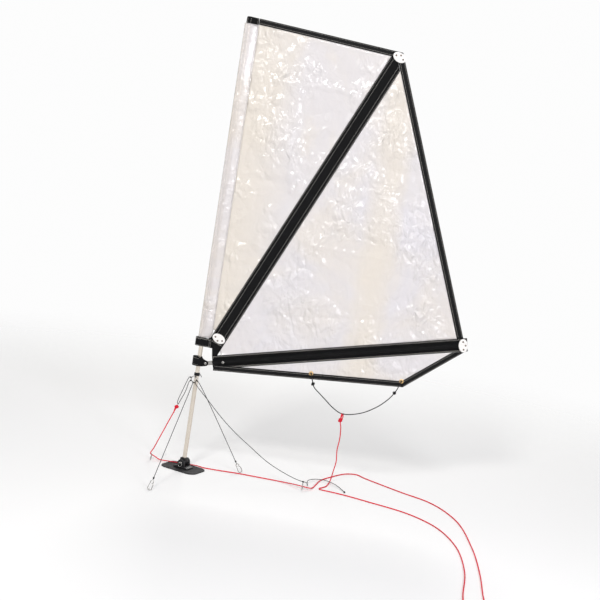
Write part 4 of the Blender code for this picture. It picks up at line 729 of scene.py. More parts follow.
def softened(profile, edge):
    """A closed (radius, height) profile whose corners are cut by edge, so that they catch the light."""
    made = []
    for i, corner in enumerate(profile):
        spot = Vector(corner)
        for other in (profile[i - 1], profile[(i + 1) % len(profile)]):
            way = Vector(other) - spot
            made.append(tuple(spot + way.normalized() * min(edge, way.length * 0.4)))
    return made


def ring_of_wire(name, centre, way, radius, wire, finish, sides=40, wire_sides=14):
    place = place_on(centre, way)
    bm = bmesh.new()
    start = place @ Vector((radius, 0, 0))
    stand = (place.to_3x3() @ Matrix.Rotation(math.pi / 2, 3, "X")).to_4x4()
    made = bmesh.ops.create_circle(
        bm, cap_ends=False, segments=wire_sides, radius=wire, matrix=Matrix.Translation(start) @ stand
    )
    edges = list({e for v in made["verts"] for e in v.link_edges})
    bmesh.ops.spin(
        bm, geom=made["verts"] + edges, cent=place.translation, axis=place.to_3x3() @ Z_AXIS, angle=math.tau,
        steps=sides, use_merge=True, use_duplicate=False,
    )
    return piece(name, bm, finish)


def lofted_grid(columns, rows, spot):
    """A grid whose point at shares u across and v along stands, and is mapped, where spot says."""
    bm = bmesh.new()
    bmesh.ops.create_grid(bm, x_segments=columns, y_segments=rows, size=0.5)
    sheet_map = bm.loops.layers.uv.new("map")
    for face in bm.faces:
        for loop in face.loops:
            u, v = loop.vert.co.x + 0.5, loop.vert.co.y + 0.5
            where, _ = spot(u, v)
            loop[sheet_map].uv = where
    for vert in bm.verts:
        _, vert.co = spot(vert.co.x + 0.5, vert.co.y + 0.5)
    return bm


def lofted_bar(rings, caps=True):
    """A bmesh through closed rings of (point, map) pairs, each as long as the next."""
    bm = bmesh.new()
    bar_map = bm.loops.layers.uv.new("map")
    made = [[bm.verts.new(p) for p, _ in ring] for ring in rings]
    count = len(rings[0])
    for a in range(len(rings) - 1):
        for i in range(count):
            j = (i + 1) % count
            corners = ((a, i), (a, j), (a + 1, j), (a + 1, i))
            face = bm.faces.new([made[row][k] for row, k in corners])
            for loop, (row, k) in zip(face.loops, corners):
                loop[bar_map].uv = rings[row][k][1]
    if caps:
        bm.faces.new(made[0][::-1])
        bm.faces.new(made[-1])
    return bm


# Cords: smooth tubes with a map that runs round them and along them


def through_four(points, knots, t):
    def mix(a, b, low, high):
        return a.lerp(b, (t - low) / (high - low))

    first = [mix(points[k], points[k + 1], knots[k], knots[k + 1]) for k in range(3)]
    second = [mix(first[k], first[k + 1], knots[k], knots[k + 2]) for k in range(2)]
    return mix(*second, knots[1], knots[2])


def smooth_route(points, step):
    """Points about one step apart on a smooth curve through the route's own points, and where those are."""
    route = [Vector(p) for p in points]
    ends = [route[0] * 2 - route[1], *route, route[-1] * 2 - route[-2]]
    made, marks = [route[0]], [0]
    for four in zip(ends, ends[1:], ends[2:], ends[3:]):
        knots = [0.0]
        for a, b in zip(four, four[1:]):
            knots.append(knots[-1] + math.sqrt((b - a).length))
        pieces = max(1, round((four[2] - four[1]).length / step))
        for i in range(1, pieces + 1):
            made.append(through_four(four, knots, knots[1] + (knots[2] - knots[1]) * i / pieces))
        marks.append(len(made) - 1)
    return made, marks


def length_of(points):
    return sum((b - a).length for a, b in zip(points, points[1:]))


def nearby(points, i):
    """The way along a row of points at one of them."""
    return points[min(i + 1, len(points) - 1)] - points[max(i - 1, 0)]


def tube_mesh(points, radius, sides):
    """Rings of a tube, kept from twisting, with (round, along) maps."""
    run = 0.0
    side = (points[1] - points[0]).normalized().orthogonal().normalized()
    rings = []
    for i, p in enumerate(points):
        way = nearby(points, i).normalized()
        side = (side - way * side.dot(way)).normalized()
        third = way.cross(side)
        if i:
            run += (p - points[i - 1]).length
        spokes = enumerate(arc(0, 360, sides)[:-1])
        rings.append([(p + (side * c + third * s) * radius, (k / sides, run)) for k, (c, s) in spokes])
    return lofted_bar(rings)


def tube(name, points, radius, finish, sides=12):
    return piece(name, tube_mesh(points, radius, sides), finish, 80.0)


WOUND_STEPS = 18
STRAND = 0.85
STRAND_PITCH = 2.05
TUCKS = 8


def wound(name, centre, way, radius, finish, turns=3, layers=1):
    """A knot: turns of a cord wound round a place on it, in layers, with both ends tucked in."""
    way = Vector(way).normalized()
    side = way.orthogonal().normalized()
    third = way.cross(side)
    strand = radius * STRAND
    pitch = strand * STRAND_PITCH
    points = []
    angle = 0.0
    for layer in range(layers):
        wraps = turns - layer
        steps = wraps * WOUND_STEPS
        sense = -1 if layer % 2 else 1
        for i in range(steps + 1):
            share = i / steps
            start_tuck = 1.0 if layer else TUCKS * share
            end_tuck = 1.0 if layer < layers - 1 else TUCKS * (1 - share)
            tuck = min(1.0, start_tuck, end_tuck)
            out = radius * (0.9 + (0.85 + 1.35 * layer) * tuck) * (1 + 0.06 * math.sin(angle * 0.5))
            rise = sense * (share - 0.5) * pitch * wraps
            spoke = side * math.cos(angle) + third * math.sin(angle)
            points.append(centre + (way + side * 0.25 * layer) * rise + spoke * out)
            angle += math.tau / WOUND_STEPS
    return tube(name, points, strand, finish, 10)


def bent(obj, bodies, depths, share):
    """Bends a piece between two bodies: share says how far each point follows the second one.

    The weights are taken with each point at the depth that gives it its share, so that the two faces of a
    tape or a film, and the stitches in it, keep together.
    """
    first, last = depths
    points = [vert.co.copy() for vert in obj.data.vertices]
    for vert, point in zip(obj.data.vertices, points):
        vert.co.y = first + (last - first) * eased(share(point))
    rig.blend(obj, *bodies, start=(0, first, 0), end=(0, last, 0))
    for vert, point in zip(obj.data.vertices, points):
        vert.co = point
    obj.data.update()
    return obj


def climbed(low, high):
    """How far up a point is from one place to another, as a share."""
    way = Vector(high) - Vector(low)
    return lambda point: (point - Vector(low)).dot(way) / way.length_squared


def raised(parts, pair, low, high, *nodes):
    """Bends cords between two bodies, from the lower one at one place to the upper one at another."""
    for part in parts:
        if nodes:
            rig.replaces(part, *nodes)
        bent(part, pair, (0.0, 1.0), climbed(low, high))


# Sewing

# A stitch's sections: how far along it, how thick and how far out, in thread radii
STITCH_SECTIONS = ((0.0, 0.45, -0.3), (0.5, 1.0, 0.7), (1.0, 0.45, -0.3))
STITCH_FILL = 0.72
ZIG_SPREAD = 0.7


def add_stitch(bm, start, end, up, radius):
    """One stitch, which arches a little from one hole to the next."""
    side = (end - start).cross(up).normalized()
    rings = []
    for share, reach, lift in STITCH_SECTIONS:
        centre = start.lerp(end, share) + up * radius * lift
        ring = [centre + (side * x + up * z) * radius * reach for x, z in ((1, 0), (0, 1), (-1, 0), (0, -1))]
        rings.append([bm.verts.new(p) for p in ring])
    for low, high in zip(rings, rings[1:]):
        for k in range(4):
            bm.faces.new((low[k], low[(k + 1) % 4], high[(k + 1) % 4], high[k]))
    bm.faces.new(rings[0][::-1])
    bm.faces.new(rings[-1])


def sew(bm, place, run, zig=0.0):
    """A row of stitches. place gives the point at a distance along it, its way across and its way out."""
    spread, filled = (size("stitch") * ZIG_SPREAD, 1.0) if zig else (size("stitch"), STITCH_FILL)
    count = max(1, round(run / spread))
    for i in range(count):
        start, side, up = place(run * i / count)
        end, _, _ = place(run * (i + filled) / count)
        lean = zig / 2 if i % 2 else -zig / 2
        add_stitch(bm, start + side * lean, end - side * lean, up, size("thread"))


def sew_straight(bm, start, end, up, zig=0.0):
    """A row from one point to another, on a face that looks up."""
    way = (end - start).normalized()
    side = way.cross(up).normalized()
    sew(bm, lambda run: (start + way * run, side, up), (end - start).length, zig)


def sewn(name, bm):
    return piece(name, bm, "sewing_thread", 60.0, recalculate=False)


# The red lines, the stays and the bridle

RING = middle("stay_ring")
STAY_RING_RADIUS = 0.0105
STAY_RING_WIRE = 0.0016
HOOK_WIRE = 0.0014
HOOK_HALF_WIDTH = 0.0075
HOOK_EYE_RADIUS = 0.0055
HOOK_LENGTH = 0.038
HOOK_PLACES = {"near": (-0.09, -0.33), "far": (0.213, 0.052)}
COIL_RADIUS = 0.022
COIL_PITCH = 0.0047
COIL_TURNS = 2
COIL_EXIT = 0.011
POINTS_PER_TURN = 32
COIL_TUCK = 12
COIL_TUCK_ANGLE = math.radians(100)
# The end drops to the deck from this share of its tuck on, at this slope
COIL_DROP_START = 0.4
COIL_DROP = 1.6


def hook_frame(x, y):
    """A frame whose Z runs up the hook towards the stay ring and whose Y is its flat side's normal."""
    foot = Vector((x, y, 0))
    up = (RING - foot).normalized()
    across = up.cross(Y_AXIS).normalized()
    turn = Matrix((across, up.cross(across), up)).transposed()
    reach = HOOK_HALF_WIDTH * math.sqrt(1 - turn.col[1].z ** 2) + HOOK_WIRE
    return Matrix.Translation(foot + Z_AXIS * reach) @ turn.to_4x4()


def ring_side(degrees):
    angle = math.radians(degrees)
    way = Vector((math.cos(angle), 0, math.sin(angle)))
    reach = STAY_RING_RADIUS + STAY_RING_WIRE + GAP
    return RING + way * reach, RING + way * (reach + 4 * size("stay_radius"))


def declare(obj, points, radius, far_end, lay, ties=()):
    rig.cord(
        obj, exit=points[0], length=length_of(points), diameter=2 * radius, far_end=far_end,
        stiffness="limp", lay=lay, path=points, with_pieces=ties,
    )


def laid(name, route, radius, finish, far_end, lay, knots=(), step=0.006, bulky=()):
    """A declared cord along a route, with its knots, which come back with it."""
    points, marks = smooth_route(route, step)
    obj = tube(name, points, radius, finish)
    ties = []
    for number, mark in enumerate(knots, start=1):
        spot = marks[mark]
        layers = 2 if finish == "red_cord" or mark in bulky else 1
        tie = wound(f"{name}_knot_{number}", points[spot], nearby(points, spot), radius, finish, 3, layers)
        ties.append(tie)
    declare(obj, points, radius, far_end, lay, ties)
    return obj, ties


STAYS = ("deck", "mast")
# Where each stay is tied on the ring, in degrees round it; the fore stay is tied twice
SHROUD_DEG = {"near": 262, "far": -22}
AFT_STAY_DEG = -65
FORE_STAY_DEG = (212, 158)
# Where the aft stay comes down to its ring, and the stays' ways between their ends
LANDING = Vector((0.452, -0.048, 0.0305))
AFT_STAY = (
    (0.056, -0.017, 0.275), (0.12, -0.02, 0.214), (0.177, -0.023, 0.168),
    (0.234, -0.027, 0.129), (0.31, -0.033, 0.08), (0.383, -0.04, 0.048),
    (0.43, -0.046, 0.034), LANDING, (0.465, -0.043, 0.0275), (0.472, -0.02, 0.011),
    (0.472, 0.015, 0.006), (0.476, 0.06, 0.0075), (0.502, 0.09, 0.008), (0.54, 0.095, 0.008),
    (0.578, 0.062, 0.0078), (0.605, 0.02, 0.003), (0.614, -0.008, 0.003),
)
FORE_STAY = (
    (-0.033, -0.002, 0.293), (-0.051, 0.019, 0.243), (-0.0548, 0.0243, 0.233),
    (-0.0578, 0.0212, 0.24), (-0.043, -0.003, 0.299),
)


def make_stays():
    radius = size("stay_radius")
    for name, degrees in SHROUD_DEG.items():
        place = hook_frame(*HOOK_PLACES[name])
        top = HOOK_LENGTH - HOOK_HALF_WIDTH + GAP
        end, before = (place @ Vector((0, 0, top + rise)) for rise in (0, 8 * radius))
        start, after = ring_side(degrees)
        route = [start, after, before, end]
        obj, ties = laid(f"{name}_stay", route, radius, "dark_cord", "knot", "taut", (0, 2))
        raised([obj], STAYS, end, start, f"{name}_shroud")
        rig.ride(ties[0], "mast")
        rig.ride(ties[1], "deck")

    start, after = ring_side(AFT_STAY_DEG)
    obj, ties = laid("aft_stay", [start, after, *AFT_STAY], radius, "dark_cord", "knot", "loose", (0, 9, 18))
    raised([obj], STAYS, LANDING, start, "backstay")
    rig.ride(ties[0], "mast")
    for tie in ties[1:]:
        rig.ride(tie, "deck")

    (low, low_after), (high, high_after) = (ring_side(degrees) for degrees in FORE_STAY_DEG)
    route = [low, low_after, *FORE_STAY, high_after, high]
    obj, ties = laid("fore_stay", route, radius, "dark_cord", "object", "taut", (0, 8))
    raised([obj], STAYS, RISER_END, RING, "forestay")
    for tie in ties:
        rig.ride(tie, "mast")


RISER_END = Vector((-0.1216, 0.0441, 0.05))
LIES_Z = 0.0021
HOIST_KNOT = Vector((-0.0582, 0.0252, 0.224))


def on_deck(*spots):
    """The middle of a red line at places where it lies on the deck."""
    return [(x, y, LIES_Z) for x, y in spots]


HOIST_UPPER = (
    (-0.0555, 0.0245, 0.2309), HOIST_KNOT, (-0.076, 0.0302, 0.176), (-0.098, 0.037, 0.115),
    (-0.118, 0.043, 0.06), RISER_END,
)
HOIST_TAIL = (
    (-0.059, 0.024, 0.2262), (-0.063, 0.019, 0.22), (-0.065, 0.015, 0.211), (-0.0648, 0.014, 0.202),
)
HOIST_DECK = (
    (-0.1217, 0.0441, 0.0497), (-0.1246, 0.0448, 0.043), (-0.1285, 0.0456, 0.035),
    (-0.1314, 0.046, 0.0302), (-0.1326, 0.046, 0.0262), (-0.1304, 0.046, 0.0222),
    (-0.1245, 0.046, 0.0198), (-0.113, 0.0456, 0.015), (-0.097, 0.0448, 0.007),
    (-0.078, 0.0445, 0.0057), (-0.04, 0.0444, 0.0056), (0.013, 0.043, 0.0056), (0.047, 0.04, 0.0056),
    (0.075, 0.037, 0.0025), *on_deck((0.112, 0.034), (0.213, 0.031), (0.292, 0.021)),
    (0.38, 0.006, 0.0025), (0.423, -0.026, 0.009), (0.452, -0.048, 0.0125), (0.478, -0.042, 0.008),
    (0.493, -0.01, 0.0025), *on_deck((0.508, 0.045), (0.527, 0.108), (0.57, 0.177), (0.633, 0.254),
    (0.675, 0.266), (0.708, 0.229), (0.838, 0.112), (0.946, 0.023), (1.019, -0.149), (1.037, -0.447),
    (1.024, -0.711), (1.004, -0.9), (1.0, -0.962), (1.0, -0.984)),
)


def make_hoist():
    radius = size("line_radius")
    obj, ties = laid("hoist_upper_line", HOIST_UPPER, radius, "red_cord", "bare", "taut", (1,))
    raised([obj], STAYS, RISER_END, RING, "hoist_riser")
    raised(ties, STAYS, RISER_END, RING)
    spare = tube("hoist_knot_tail", smooth_route(HOIST_TAIL, 0.003)[0], radius * 0.95, "red_cord")
    raised([spare], STAYS, RISER_END, RING, "hoist_riser")

    obj, _ = laid("hoist_deck_line", HOIST_DECK, radius, "red_cord", "bare", "loose")
    riding(obj, "deck", "hoist_line")
    lay_coil("hoist_line_coil", Vector(HOIST_DECK[-1]) - Y_AXIS * GAP, 1, "hoist_coil")


def lay_coil(name, entry, side, replaced):
    """A neat round coil in two layers, entered on the way towards -Y; side says which way it turns."""
    radius = size("line_radius")
    outer = COIL_RADIUS + COIL_PITCH * COIL_TURNS / 2
    start = entry - Y_AXIS * 2 * radius
    centre = start + X_AXIS * side * outer
    full = COIL_TURNS * math.tau
    steps = POINTS_PER_TURN * COIL_TURNS

    def spoke(turned_by):
        angle = math.pi * (1 + side) / 2 + side * turned_by
        return Vector((math.cos(angle), math.sin(angle), 0))

    points = [entry, entry.lerp(start, 0.5), start]
    for i in range(1, 2 * steps + 1):
        turned_by = full * i / steps
        depth = min(turned_by, 2 * full - turned_by)
        climb = max(0.0, min(1.0, 0.5 + (turned_by - full) / math.pi))
        reach = outer - COIL_PITCH * depth / math.tau
        points.append(centre + spoke(turned_by) * reach + Z_AXIS * COIL_PITCH * climb)
    for i in range(1, COIL_TUCK + 1):
        share = i / COIL_TUCK
        drop = COIL_PITCH * max(0.0, 1 - COIL_DROP * share) if share > COIL_DROP_START else COIL_PITCH
        reach = outer + COIL_EXIT * share
        points.append(centre + spoke(2 * full + COIL_TUCK_ANGLE * share) * reach + Z_AXIS * drop)
    obj = tube(name, points, radius, "red_cord")
    end_knot = wound(f"{name}_end_knot", points[-3], points[-1] - points[-4], radius * 0.7, "red_cord", 2)
    declare(obj, points, radius, "knot", "coiled", [end_knot])
    riding(obj, "deck", replaced)
    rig.ride(end_knot, "deck")


EYELET_HOLE = 0.0034
EYELET_RADIUS = 0.008
EYELET_FLANGE = 0.0008
EYELETS = [meet(FLAP_LOW_INNER, line(EYELET_X, 0, 90.0)), meet(FLAP_LOW_INNER, FLAP_RISE_INNER)]
# The bridle's hanging part, as (x, z)
BRIDLE_SAG = (
    (0.437, 0.3865), (0.461, 0.366), (0.487, 0.345), (0.516, 0.322), (0.544, 0.306), (0.56, 0.303),
    (0.581, 0.304), (0.61, 0.311), (0.636, 0.321), (0.662, 0.336), (0.688, 0.355), (0.709, 0.375),
    (0.724, 0.393),
)


def make_bridle():
    radius = size("bridle_radius")
    (front_x, front_z), (aft_x, aft_z) = EYELETS
    flange = CAD_TAPE / 2 + GAP + EYELET_FLANGE + GAP
    near_y = FLAP_Y - flange - radius * 2
    behind = FLAP_Y + flange
    tie = radius * 4
    route = [
        (front_x, behind + tie, front_z), (front_x, behind + tie * 0.7, front_z), (front_x, FLAP_Y, front_z),
        (front_x + 0.0008, near_y, front_z - 0.003), (front_x + 0.0035, near_y, front_z - 0.015),
        (0.427, FLAP_Y - 0.004, 0.411), (0.431, FLAP_Y - 0.001, 0.399),
        *((x, FLAP_Y, z) for x, z in BRIDLE_SAG),
        (0.735, FLAP_Y - 0.002, 0.411), (0.743, FLAP_Y - 0.005, 0.429),
        (aft_x - 0.006, near_y, aft_z - 0.014), (aft_x - 0.0012, near_y, aft_z - 0.0028),
        (aft_x, FLAP_Y, aft_z), (aft_x, behind + tie * 0.7, aft_z), (aft_x, behind + tie, aft_z),
    ]
    knots, bulky = (1, 6, 20, 25), (6, 20)
    obj, ties = laid("sheet_bridle", route, radius, "dark_cord", "object", "hanging", knots, 0.004, bulky)
    riding(obj, "boom", "bridle")
    for part in ties:
        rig.ride(part, "boom")


SHEET_KNOT = Vector((0.5535, FLAP_Y, 0.279))
SHEET_LOOP = Vector((0.5572, FLAP_Y, 0.2935))
SHEET_LOW_Z = 0.0023
SHEET_STEP = 0.005
SHEET = (
    (0.5575, FLAP_Y, 0.3008), (0.556, FLAP_Y, 0.292), SHEET_KNOT, (0.555, FLAP_Y + 0.002, 0.268),
    (0.561, -0.006, 0.245), (0.566, 0.02, 0.197), (0.565, 0.045, 0.146), (0.571, 0.073, 0.094),
    (0.568, 0.098, 0.047), (0.566, 0.108, 0.022), (0.563, 0.104, 0.008), (0.558, 0.086, 0.0023),
    *on_deck((0.546, 0.038), (0.531, 0.012), (0.519, -0.004), (0.5195, -0.0155), (0.532, -0.022),
    (0.562, -0.029), (0.61, -0.044), (0.7, -0.085), (0.84, -0.16), (0.93, -0.27), (0.978, -0.45),
    (0.975, -0.7), (0.937, -0.93), (0.93, -1.005), (0.93, -1.029)),
)


def make_sheet():
    """The red sheet hangs from the bridle. Each stretch of it bends across one joint, down to the deck."""
    radius = size("line_radius")
    points, marks = smooth_route(SHEET, SHEET_STEP)
    cuts = [0, marks[4], marks[5] + (marks[6] - marks[5]) // 2, marks[7], len(points) - 1]
    bodies = (("diagonal", "boom"), ("sail", "diagonal"), ("mast", "sail"), STAYS)
    tie = wound("sheet_knot", points[marks[2]], nearby(points, marks[2]), radius, "red_cord", 4, 2)
    round_it = [SHEET_LOOP + Vector((0.0042 * s, 0.0046 * s, 0.0125 * c)) for c, s in arc(0, 360, 24)]
    loop = tube("sheet_loop", round_it[2:-2], radius * 0.9, "red_cord")
    for number, (start, end, pair) in enumerate(zip(cuts, cuts[1:], bodies), start=1):
        stretch = points[start:end + 1]
        hanging, ties = number < 4, [tie, loop] if number == 1 else []
        obj = tube(f"sheet_line_{number}", stretch, radius, "red_cord")
        declare(obj, stretch, radius, "bare", "hanging" if hanging else "loose", ties)
        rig.replaces(obj, "sheet_line")
        low = stretch[-1].z if hanging else SHEET_LOW_Z
        raised([obj, *ties], pair, (0, 0, low), (0, 0, stretch[0].z))
    lay_coil("sheet_line_coil", points[-1] - Y_AXIS * GAP, -1, "sheet_coil")


class LayLines(bpy.types.Operator):
    """Lays the stays, the hoist line, the bridle and the sheet."""

    bl_idname = "sail.lay_lines"
    bl_label = "Lines"

    def execute(self, context):
        make_stays()
        make_hoist()
        make_bridle()
        make_sheet()
        return {"FINISHED"}


# The mast's foot on the deck

AFT_YAW = math.atan2(AFT.y, AFT.x)
PATCH_SIZE = (0.15, 0.11)
PATCH_THICKNESS = 0.003
PATCH_CORNER = 0.03
STEP_SIZE = (0.062, 0.046)
STEP_SHOULDER = 0.017
STEP_FLOOR = 0.008
CHEEK_THICKNESS = 0.01
CHEEK_HALF_WIDTH = 0.0165
CHEEK_CROWN = 0.013
HEEL_RADIUS = 0.0115
HEEL_TOP = PIN.z + 0.016
PIN_RADIUS = 0.003
PULL_RING_RADIUS = 0.008
PULL_RING_WIRE = 0.001
MOULDED_EDGE = 0.0012


def extruded(bm, outline, rise):
    """A flat outline of points, extruded by a vector."""
    face = bm.faces.new([bm.verts.new(p) for p in outline])
    grown = bmesh.ops.extrude_face_region(bm, geom=[face])
    moved = [part for part in grown["geom"] if isinstance(part, bmesh.types.BMVert)]
    bmesh.ops.translate(bm, verts=moved, vec=rise)
    return moved


def bevel_all(bm, width, segments=2, least_deg=25.0):
    edges = [e for e in bm.edges if len(e.link_faces) == 2 and e.calc_face_angle() > math.radians(least_deg)]
    bmesh.ops.bevel(
        bm, geom=edges, offset=width, segments=segments, profile=0.5, affect="EDGES", material=-1,
        clamp_overlap=True,
    )


def deck_turned(bm):
    bmesh.ops.rotate(bm, verts=bm.verts, cent=(0, 0, 0), matrix=Matrix.Rotation(AFT_YAW, 3, "Z"))


def make_patch():
    length_half, width_half = (side / 2 - PATCH_CORNER for side in PATCH_SIZE)
    outline = []
    for quarter, (sx, sy) in enumerate(((1, 1), (-1, 1), (-1, -1), (1, -1))):
        for c, s in arc(90 * quarter, 90 * quarter + 90, 12):
            spot = (sx * length_half + PATCH_CORNER * c, sy * width_half + PATCH_CORNER * s, 0)
            outline.append(Vector(spot))
    bm = bmesh.new()
    extruded(bm, outline, Z_AXIS * PATCH_THICKNESS)
    top = [f for f in bm.faces if f.calc_center_median().z > PATCH_THICKNESS * 0.9]
    bmesh.ops.inset_region(bm, faces=top, thickness=0.0045, depth=-0.0006, use_even_offset=True)
    bevel_all(bm, 0.0006, 2, 20)
    deck_turned(bm)
    riding(piece("deck_patch", bm, "deck_rubber"), "deck", "foot_patch")


def make_step():
    """The step's base with a cheek on each side of the heel."""
    base = PATCH_THICKNESS + GAP
    half_length, half_width = (side / 2 for side in STEP_SIZE)
    corners = (
        (-half_length, base), (half_length, base), (half_length, base + STEP_FLOOR * 0.5),
        (STEP_SHOULDER, base + STEP_FLOOR), (-STEP_SHOULDER, base + STEP_FLOOR),
        (-half_length, base + STEP_FLOOR * 0.5),
    )
    bm = bmesh.new()
    extruded(bm, [Vector((x, -half_width, z)) for x, z in corners], Y_AXIS * 2 * half_width)
    bevel_all(bm, 0.0014, 3)
    foot_z = base + STEP_FLOOR * 0.9
    corners = [(-CHEEK_HALF_WIDTH, foot_z), (CHEEK_HALF_WIDTH, foot_z)]
    corners += [(CHEEK_CROWN * c, PIN.z + CHEEK_CROWN * 0.9 * s) for c, s in arc(8, 172, 12)]
    for edge in (-half_width, half_width - CHEEK_THICKNESS):
        cheek = bmesh.new()
        extruded(cheek, [Vector((x, edge, z)) for x, z in corners], Y_AXIS * CHEEK_THICKNESS)
        bevel_all(cheek, MOULDED_EDGE, 3, 30)
        mesh = bpy.data.meshes.new("cheek")
        cheek.to_mesh(mesh)
        cheek.free()
        bm.from_mesh(mesh)
        bpy.data.meshes.remove(mesh)
    deck_turned(bm)
    riding(piece("mast_foot_step", bm, "black_plastic"), "deck", "mast_step")


def make_pin():
    reach = STEP_SIZE[1] / 2 + GAP
    head = -reach - 0.002
    profile = [
        (0, head - 0.0004), (0.0042, head - 0.0002), (0.0055, head + 0.0008), (0.0055, -reach - 0.0003),
        (0.0052, -reach), (PIN_RADIUS, -reach), (PIN_RADIUS, reach + 0.0062),
        (PIN_RADIUS * 0.8, reach + 0.007), (0, reach + 0.0072),
    ]
    riding(turned("foot_pin", profile, PIN, -ACROSS, "bright_steel", 32), "deck", "step_pin")
    centre = PIN - ACROSS * (reach + 0.0035) - Z_AXIS * PULL_RING_RADIUS
    ring = ring_of_wire("foot_pin_ring", centre, ACROSS, PULL_RING_RADIUS, PULL_RING_WIRE, "bright_steel")
    riding(ring, "deck", "pin_ring")


def make_heel():
    half = STEP_SIZE[1] / 2 - CHEEK_THICKNESS - GAP
    top = HEEL_TOP - GAP
    corners = [(HEEL_RADIUS, top), (-HEEL_RADIUS, top)]
    corners += [(HEEL_RADIUS * c, PIN.z + HEEL_RADIUS * s) for c, s in arc(180, 360, 16)]
    bm = bmesh.new()
    extruded(bm, [Vector((x, -half, z)) for x, z in corners], Y_AXIS * 2 * half)
    bevel_all(bm, MOULDED_EDGE, 3, 30)
    deck_turned(bm)
    low = HEEL_TOP - 0.004
    collar = [(0, low), (0.01, low), (0.01, HEEL_TOP - 0.0008), (0.0094, top), (0, top)]
    add_turned(bm, collar, (0, 0, 0), Z_AXIS, 36)
    riding(piece("mast_foot_heel", bm, "black_plastic"), "mast", "mast_heel")


class DressFoot(bpy.types.Operator):
    """Makes the deck patch, the mast step with its pin and ring, and the mast's heel."""

    bl_idname = "sail.dress_foot"
    bl_label = "Foot"

    def execute(self, context):
        make_patch()
        make_step()
        make_pin()
        make_heel()
        return {"FINISHED"}


# The mast

MAST_WALL = 0.0012
MAST_JOIN_Z = 0.9
MAST_LEVELS = 12
TUBE_EDGE = 0.0004
LASHING_Z = 0.3635
LASHING_TURNS = 5
LASHING_HEIGHT = 0.0118
TURN_STEPS = 24
LINK_ANGLE = math.radians(62)


def make_tubes():
    inner = MAST_RADIUS - MAST_WALL
    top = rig.box("mast_upper_tube")[1].z
    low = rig.box("mast_lower_tube")[0].z
    for name, bottom, end in (("mast_lower", low, MAST_JOIN_Z), ("mast_upper", MAST_JOIN_Z + GAP, top)):
        corners = [(inner, bottom), (MAST_RADIUS, bottom), (MAST_RADIUS, end), (inner, end)]
        profile = softened(corners, TUBE_EDGE)
        levels = [bottom + (end - bottom) * i / MAST_LEVELS for i in range(1, MAST_LEVELS)]
        grown = []
        for spot, after in zip(profile, (*profile[1:], profile[0])):
            grown.append(spot)
            if spot[0] == MAST_RADIUS and after[0] == MAST_RADIUS:
                grown += [(MAST_RADIUS, h) for h in levels]
        riding(turned(name, grown, (0, 0, 0), Z_AXIS, "mast_aluminium"), "mast", f"{name}_tube")
    dress("mast_aluminium", "mast_ferrule", "boom_tube")
    dress("black_plastic", "mast_head_cap")
    dress("glass_fibre", "diagonal_batten")


def make_lashing():
    ring = ring_of_wire(
        "stay_ring_wire", RING, Y_AXIS, STAY_RING_RADIUS, STAY_RING_WIRE, "bright_steel", 48, 16
    )
    riding(ring, "mast", "stay_ring")
    radius = size("stay_radius")
    reach = MAST_RADIUS + GAP + radius
    steps = LASHING_TURNS * TURN_STEPS
    points = []
    for i, (c, s) in enumerate(arc(0, 360 * LASHING_TURNS, steps)):
        points.append(Vector((reach * c, reach * s, LASHING_Z + (i / steps - 0.5) * LASHING_HEIGHT)))
    riding(tube("stay_lashing_turns", points, radius, "dark_cord", 10), "mast", "stay_lashing")
    c, s = math.cos(LINK_ANGLE), math.sin(LINK_ANGLE)
    spot, way = RING + Vector((c, 0, s)) * STAY_RING_RADIUS, Vector((-s, 0, c))
    reach = STAY_RING_WIRE + GAP + radius
    link = ring_of_wire("stay_lashing_link", spot, way, reach, radius, "dark_cord", 24, 10)
    riding(link, "mast", "stay_lashing")
    spot = Vector((0.003, -MAST_RADIUS - 0.0042, LASHING_Z + 0.001))
    riding(wound("stay_lashing_knot", spot, (0.4, 0.1, 1), radius, "dark_cord", 3), "mast", "stay_lashing")
    tail = [
        (0.0045, -MAST_RADIUS - 0.0048, LASHING_Z + 0.003), (0.01, -MAST_RADIUS - 0.0065, LASHING_Z + 0.005),
        (0.015, -MAST_RADIUS - 0.007, LASHING_Z + 0.001), (0.0185, -MAST_RADIUS - 0.006, LASHING_Z - 0.006),
    ]
    tail = tube("stay_lashing_tail", smooth_route(tail, 0.002)[0], radius, "dark_cord", 10)
    riding(tail, "mast", "stay_lashing")


class DressMast(bpy.types.Operator):
    """Makes the mast's two tubes and the ring for the stays with its lashing."""

    bl_idname = "sail.dress_mast"
    bl_label = "Mast"

    def execute(self, context):
        make_tubes()
        make_lashing()
        return {"FINISHED"}


# Film: the sleeve, the panels and the flap

EDGE_A, EDGE_B = shifted(DIAGONAL_BACK, -GAP), shifted(POCKET_TOP, GAP)
APEX = meet(EDGE_A, EDGE_B)
FAR_A = meet(EDGE_A, LEECH)
FAR_B = meet(EDGE_B, LEECH)
PANEL_DEPTHS = (SEAM_Y, DIAGONAL_Y)
AFT_DEPTHS = (DIAGONAL_Y, FLAP_Y)
PANEL_CALM = 0.03
FLAP_CALM = 0.024
FLAP_TIP = 0.004


def depth_across(depths):
    """The law of a panel's depth between two others, by the share of the way across it."""
    first, last = depths
    return lambda u: first + (last - first) * eased(u)


def upright_at(x):
    return line(x, 0.0, 90.0)


def front_share(point):
    """How far a point of the front panel follows the diagonal, from the seam to the diagonal's pocket."""
    edge = meet(DIAGONAL_FRONT, line(0.0, point.z, 0.0)).x
    return (point.x - SEAM_X) / max(0.001, edge - SEAM_X)


def aft_share(point):
    """How far a point aft of the diagonal follows the boom, from the diagonal's pocket to the boom's."""
    a, b = FAR_A - APEX, FAR_B - APEX
    p = Vector((point.x, point.z)) - APEX
    cross = a.x * b.y - a.y * b.x
    first, second = (p.x * b.y - p.y * b.x) / cross, (a.x * p.y - a.y * p.x) / cross
    return second / (first + second) if first + second > 0.001 else 0.5


